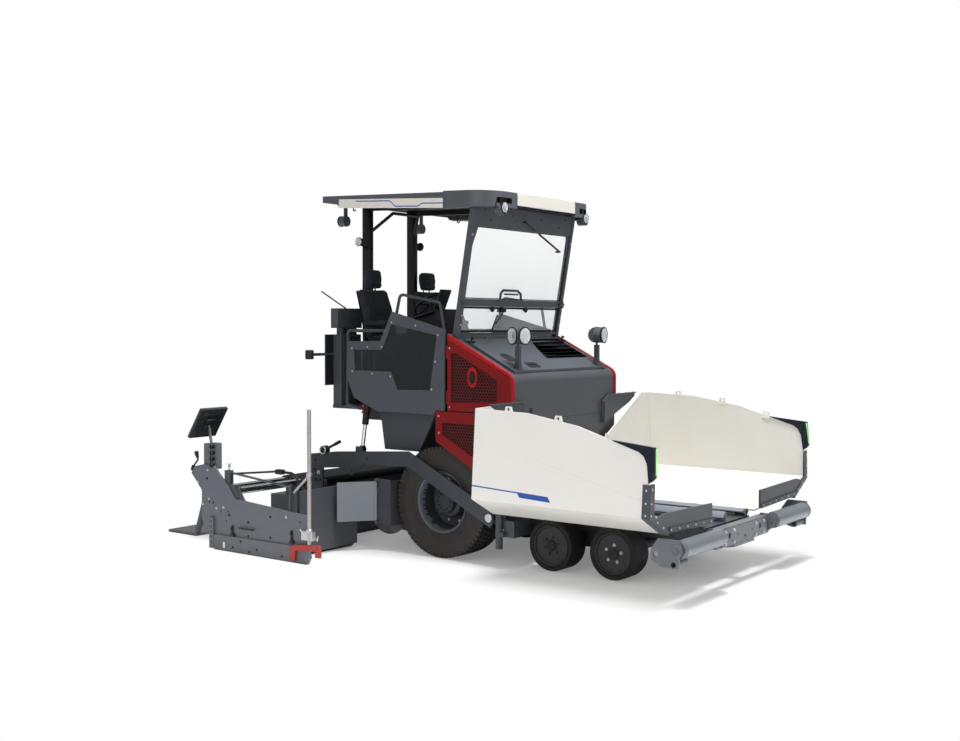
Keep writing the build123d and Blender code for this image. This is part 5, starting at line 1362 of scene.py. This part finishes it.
# --- End gates --------------------------------------------------------------------------------
# Plate with a ski along its foot, a red bumper at the toe and an aluminium sensor pole in a
# bright clamp. Above it stand the control post with its column of knobs and a tilted monitor.
GATE = 1.865
SKI = 1.885
POLE = (-0.742, 1.899)
CRANK_Y, NUT_Y, ROD_Y, BAR_Y, BAR_Z = 1.853, 1.817, 1.800, 1.890, 0.252
BRIGHT_BOLTS = (
    (-2.183, 0.500), (-1.969, 0.434), (-2.071, 0.415), (-1.084, 0.421), (-2.35, 0.66), (-2.27, 0.44),
    (-2.20, 0.79),
)
DARK_BOLTS = ((-1.886, 0.360), (-1.613, 0.315), (-1.614, 0.180), (-1.30, 0.20), (-1.30, 0.40), (-2.215, 0.70))
SKI_BOLTS = ((-1.816, 0.050), (-1.472, 0.064), (-1.581, 0.030), (-1.123, 0.043), (-1.70, 0.12))
bumper_red = enamel("bumper_red", "a42a28", 0.35)
monitor_black = enamel("monitor_black", "2c2f34", 0.32)
screen_glass = Finish("screen_glass", "0b0e12", 0.08, Coat_Weight=0.6)
screen_glass.feed(Base_Color=screen_glass.mix("090b0f", "141a22", screen_glass.noise(3, 2)))


def from_pole(c):
    """Distance from the sensor pole's middle, seen from above."""
    return math.hypot(c.x - POLE[0], abs(c.y) - POLE[1])


for gate in pair("end_gate_", enamel("gate_enamel", "5e636a", 0.35), "machine_grey", 0.002):
    for finish, test in (
        (bumper_red, lambda c, n: abs(c.y) > 1.8845 and -0.99 < c.x < -0.59 and 0.02 < c.z < 0.206),
        (alloy, lambda c, n: (from_pole(c) < 0.0205 and c.z > 0.19)
            or (-1.045 < c.x < -0.74 and 0.63 < c.z < 0.87)),
        (zinc, lambda c, n: -0.845 < c.x < -0.69 and 0.232 < c.z < 0.320 and abs(c.y) > 1.8655
            and from_pole(c) > 0.0205),
        (monitor_black, lambda c, n: c.z > 1.08 and c.x < -2.3),
        (black, lambda c, n: -2.165 < c.x < -2.118 and c.z > 0.815 and abs(c.y) > 1.8375),
    ):
        paint_part(gate, finish, test)
bright = bolt_set("gate_bolts", outward(GATE, BRIGHT_BOLTS), 0.012)
both_sides(bright, "extension_", zinc, "bright_grey")
dark = bolt_set("gate_dark_bolts", outward(GATE, DARK_BOLTS) + outward(SKI, SKI_BOLTS), 0.010)
both_sides(dark, "extension_", dark_bolt, "machine_grey")
guides = [round_bar("bar", (-1.725, BAR_Y, BAR_Z), (-1.516, BAR_Y, BAR_Z), 0.0075, 16)]
for x in (-1.705, -1.536):
    guides.append(round_bar("stand", (x, GATE - 0.001, BAR_Z), (x, BAR_Y, BAR_Z), 0.006, 12))
for x, low, high in ((-1.836, 0.150, 0.262), (-1.008, 0.172, 0.300)):
    sunk = GATE - 0.001
    guides.append(block("slot_plate", (x - 0.016, sunk, low), (x + 0.016, 1.874, high), 0.002))
    guides.append(block("stop_block", (x - 0.010, sunk, low + 0.005), (x + 0.038, 1.893, low + 0.035)))
    guides.append(round_bar("stud", (x, 1.873, high - 0.03), (x, 1.892, high - 0.03), 0.010, 16))
both_sides(joined("gate_guides", guides), "extension_", dark_bolt, "machine_grey")
white_lens = enamel("white_lens", "e4e4e2", 0.25, 0.02)
for name, x, z, wide, tall, edge, finish, slot in (
    ("gate_red_reflector", -2.022, 0.042, 0.018, 0.020, 0.0015, bumper_red, "panel_red"),
    ("gate_white_reflector", -1.955, 0.028, 0.027, 0.062, 0.002, white_lens, "trim_white"),
):
    outline = [(x, z), (x + wide, z), (x + wide, z + tall), (x, z + tall)]
    both_sides(cut_plate(name, outline, "y", SKI - 0.001, 0.006, edge), "extension_", finish, slot)
crank_knob = [(0, -0.004), (0.013, -0.004), (0.017, 0.020), (0.023, 0.058), (0.019, 0.068), (0, 0.070)]
crank = joined("gate_crank", [
    round_bar("socket", (-2.452, CRANK_Y, 0.768), (-2.432, CRANK_Y, 0.812), 0.019, 20),
    round_bar("arm", (-2.436, CRANK_Y, 0.806), (-2.362, CRANK_Y, 0.880), 0.009, 14),
    round_bar("crank_pin", (-2.364, CRANK_Y, 0.876), (-2.372, CRANK_Y, 0.905), 0.008, 14),
    turned("knob", crank_knob, (-2.370, CRANK_Y, 0.898), (-0.32, 0, 1), 24)])
both_sides(crank, "extension_", black, "black_plastic")
knob_edge = [
    (0, -0.002), (0.012, -0.002), (0.012, 0.004), (0.021, 0.006), (0.023, 0.016), (0.020, 0.024),
    (0.010, 0.026), (0, 0.024),
]
knobs = []
for z in (0.838, 0.900, 0.962, 1.024):
    knobs.append(turned("knob", knob_edge, (-2.142, 1.856, z), (0, 1, 0), 24))
    knobs.append(block("pointer", (-2.145, 1.878, z - 0.016), (-2.139, 1.886, z + 0.016), 0.001, 1))
both_sides(joined("control_knobs", knobs), "extension_", black, "black_plastic")
collar_edge = [(0, 0), (0.014, 0), (0.014, 0.014), (0.009, 0.018), (0, 0.018)]
nut = joined("wing_nut", [
    round_bar("stud", (-1.937, NUT_Y, 0.790), (-1.937, NUT_Y, 0.868), 0.006, 12),
    turned("collar", collar_edge, (-1.937, NUT_Y, 0.828), (0, 0, 1), 20),
    round_bar("wing", (-1.937, NUT_Y, 0.842), (-1.962, NUT_Y, 0.872), 0.005, 10),
    round_bar("wing", (-1.937, NUT_Y, 0.842), (-1.912, NUT_Y, 0.872), 0.005, 10)])
both_sides(nut, "extension_", zinc, "bright_grey")
route = ((-1.205, 0.835), (-1.075, 0.832), (-1.020, 0.812), (-0.990, 0.760), (-0.985, 0.445))
drop = tube([(x, ROD_Y, z) for x, z in route], 0.013, 18, (0.0131, 0.0093, 18), 0.001)
drop.append(block("clevis", (-1.275, 1.775, 0.812), (-1.185, 1.830, 0.858), 0.006))
drop.append(round_bar("screw_rod", (-1.935, ROD_Y, 0.762), (-1.270, ROD_Y, 0.835), 0.010, 16))
both_sides(joined("drop_tube", drop), "extension_", dark_bolt, "frame_grey")

FOOT, TOP = Vector((-2.531, 0, 1.103)), Vector((-2.332, 0, 1.398))
up = (TOP - FOOT).normalized()
away = Vector((-up.z, 0, up.x))
low, high = FOOT + up * 0.03, TOP - up * 0.03
corners = [(spot.x, spot.z) for spot in (low, high, high + away * 0.003, low + away * 0.003)]
pane = cut_plate("monitor_pane", corners, "y", 1.53, 0.285, 0)
both_sides(pane, "extension_", screen_glass, "tinted_glass")
middle = (FOOT + TOP) / 2 - away * 0.028
case = []
for half_up, half_y, deep in ((0.125, 0.120, 0.016), (0.070, 0.060, 0.034)):
    near, far, reach = middle + away * 0.002, middle - away * deep, up * half_up
    spots = (near - reach, near + reach, far + reach * 0.9, far - reach * 0.9)
    corners = [(spot.x, spot.z) for spot in spots]
    case.append(cut_plate("case", corners, "y", 1.6725 - half_y, 2 * half_y, 0.005))
both_sides(joined("monitor_case", case), "extension_", black, "black_plastic")
edge = [
    round_bar("edge", (a.x, y_a, a.z), (b.x, y_b, b.z), 0.0045, 10, 0.0005) for a, b, y_a, y_b in (
        (FOOT, TOP, 1.8455, 1.8455), (FOOT, TOP, 1.4995, 1.4995),
        (FOOT, FOOT, 1.4995, 1.8455), (TOP, TOP, 1.4995, 1.8455))]
both_sides(joined("monitor_edge", edge), "extension_", guard_enamel, "bright_grey")
low_collar = [(0.0195, 0), (0.031, 0), (0.031, 0.024), (0.028, 0.027), (0.0195, 0.027)]
high_collar = [(0.0195, 0), (0.029, 0), (0.029, 0.034), (0.0195, 0.034)]
clamp = joined("pole_clamp", [
    round_bar("screw", (-0.842, 1.890, 0.300), (-0.880, 1.890, 0.330), 0.006, 12),
    round_bar("screw", (-0.700, 1.902, 0.262), (-0.640, 1.902, 0.262), 0.007, 12),
    round_bar("wing", (-0.640, 1.902, 0.240), (-0.628, 1.902, 0.292), 0.006, 12),
    turned("collar", low_collar, (*POLE, 0.318), (0, 0, 1), 32),
    turned("collar", high_collar, (*POLE, 0.835), (0, 0, 1), 32)])
both_sides(clamp, "extension_", zinc, "bright_grey")

low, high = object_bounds()
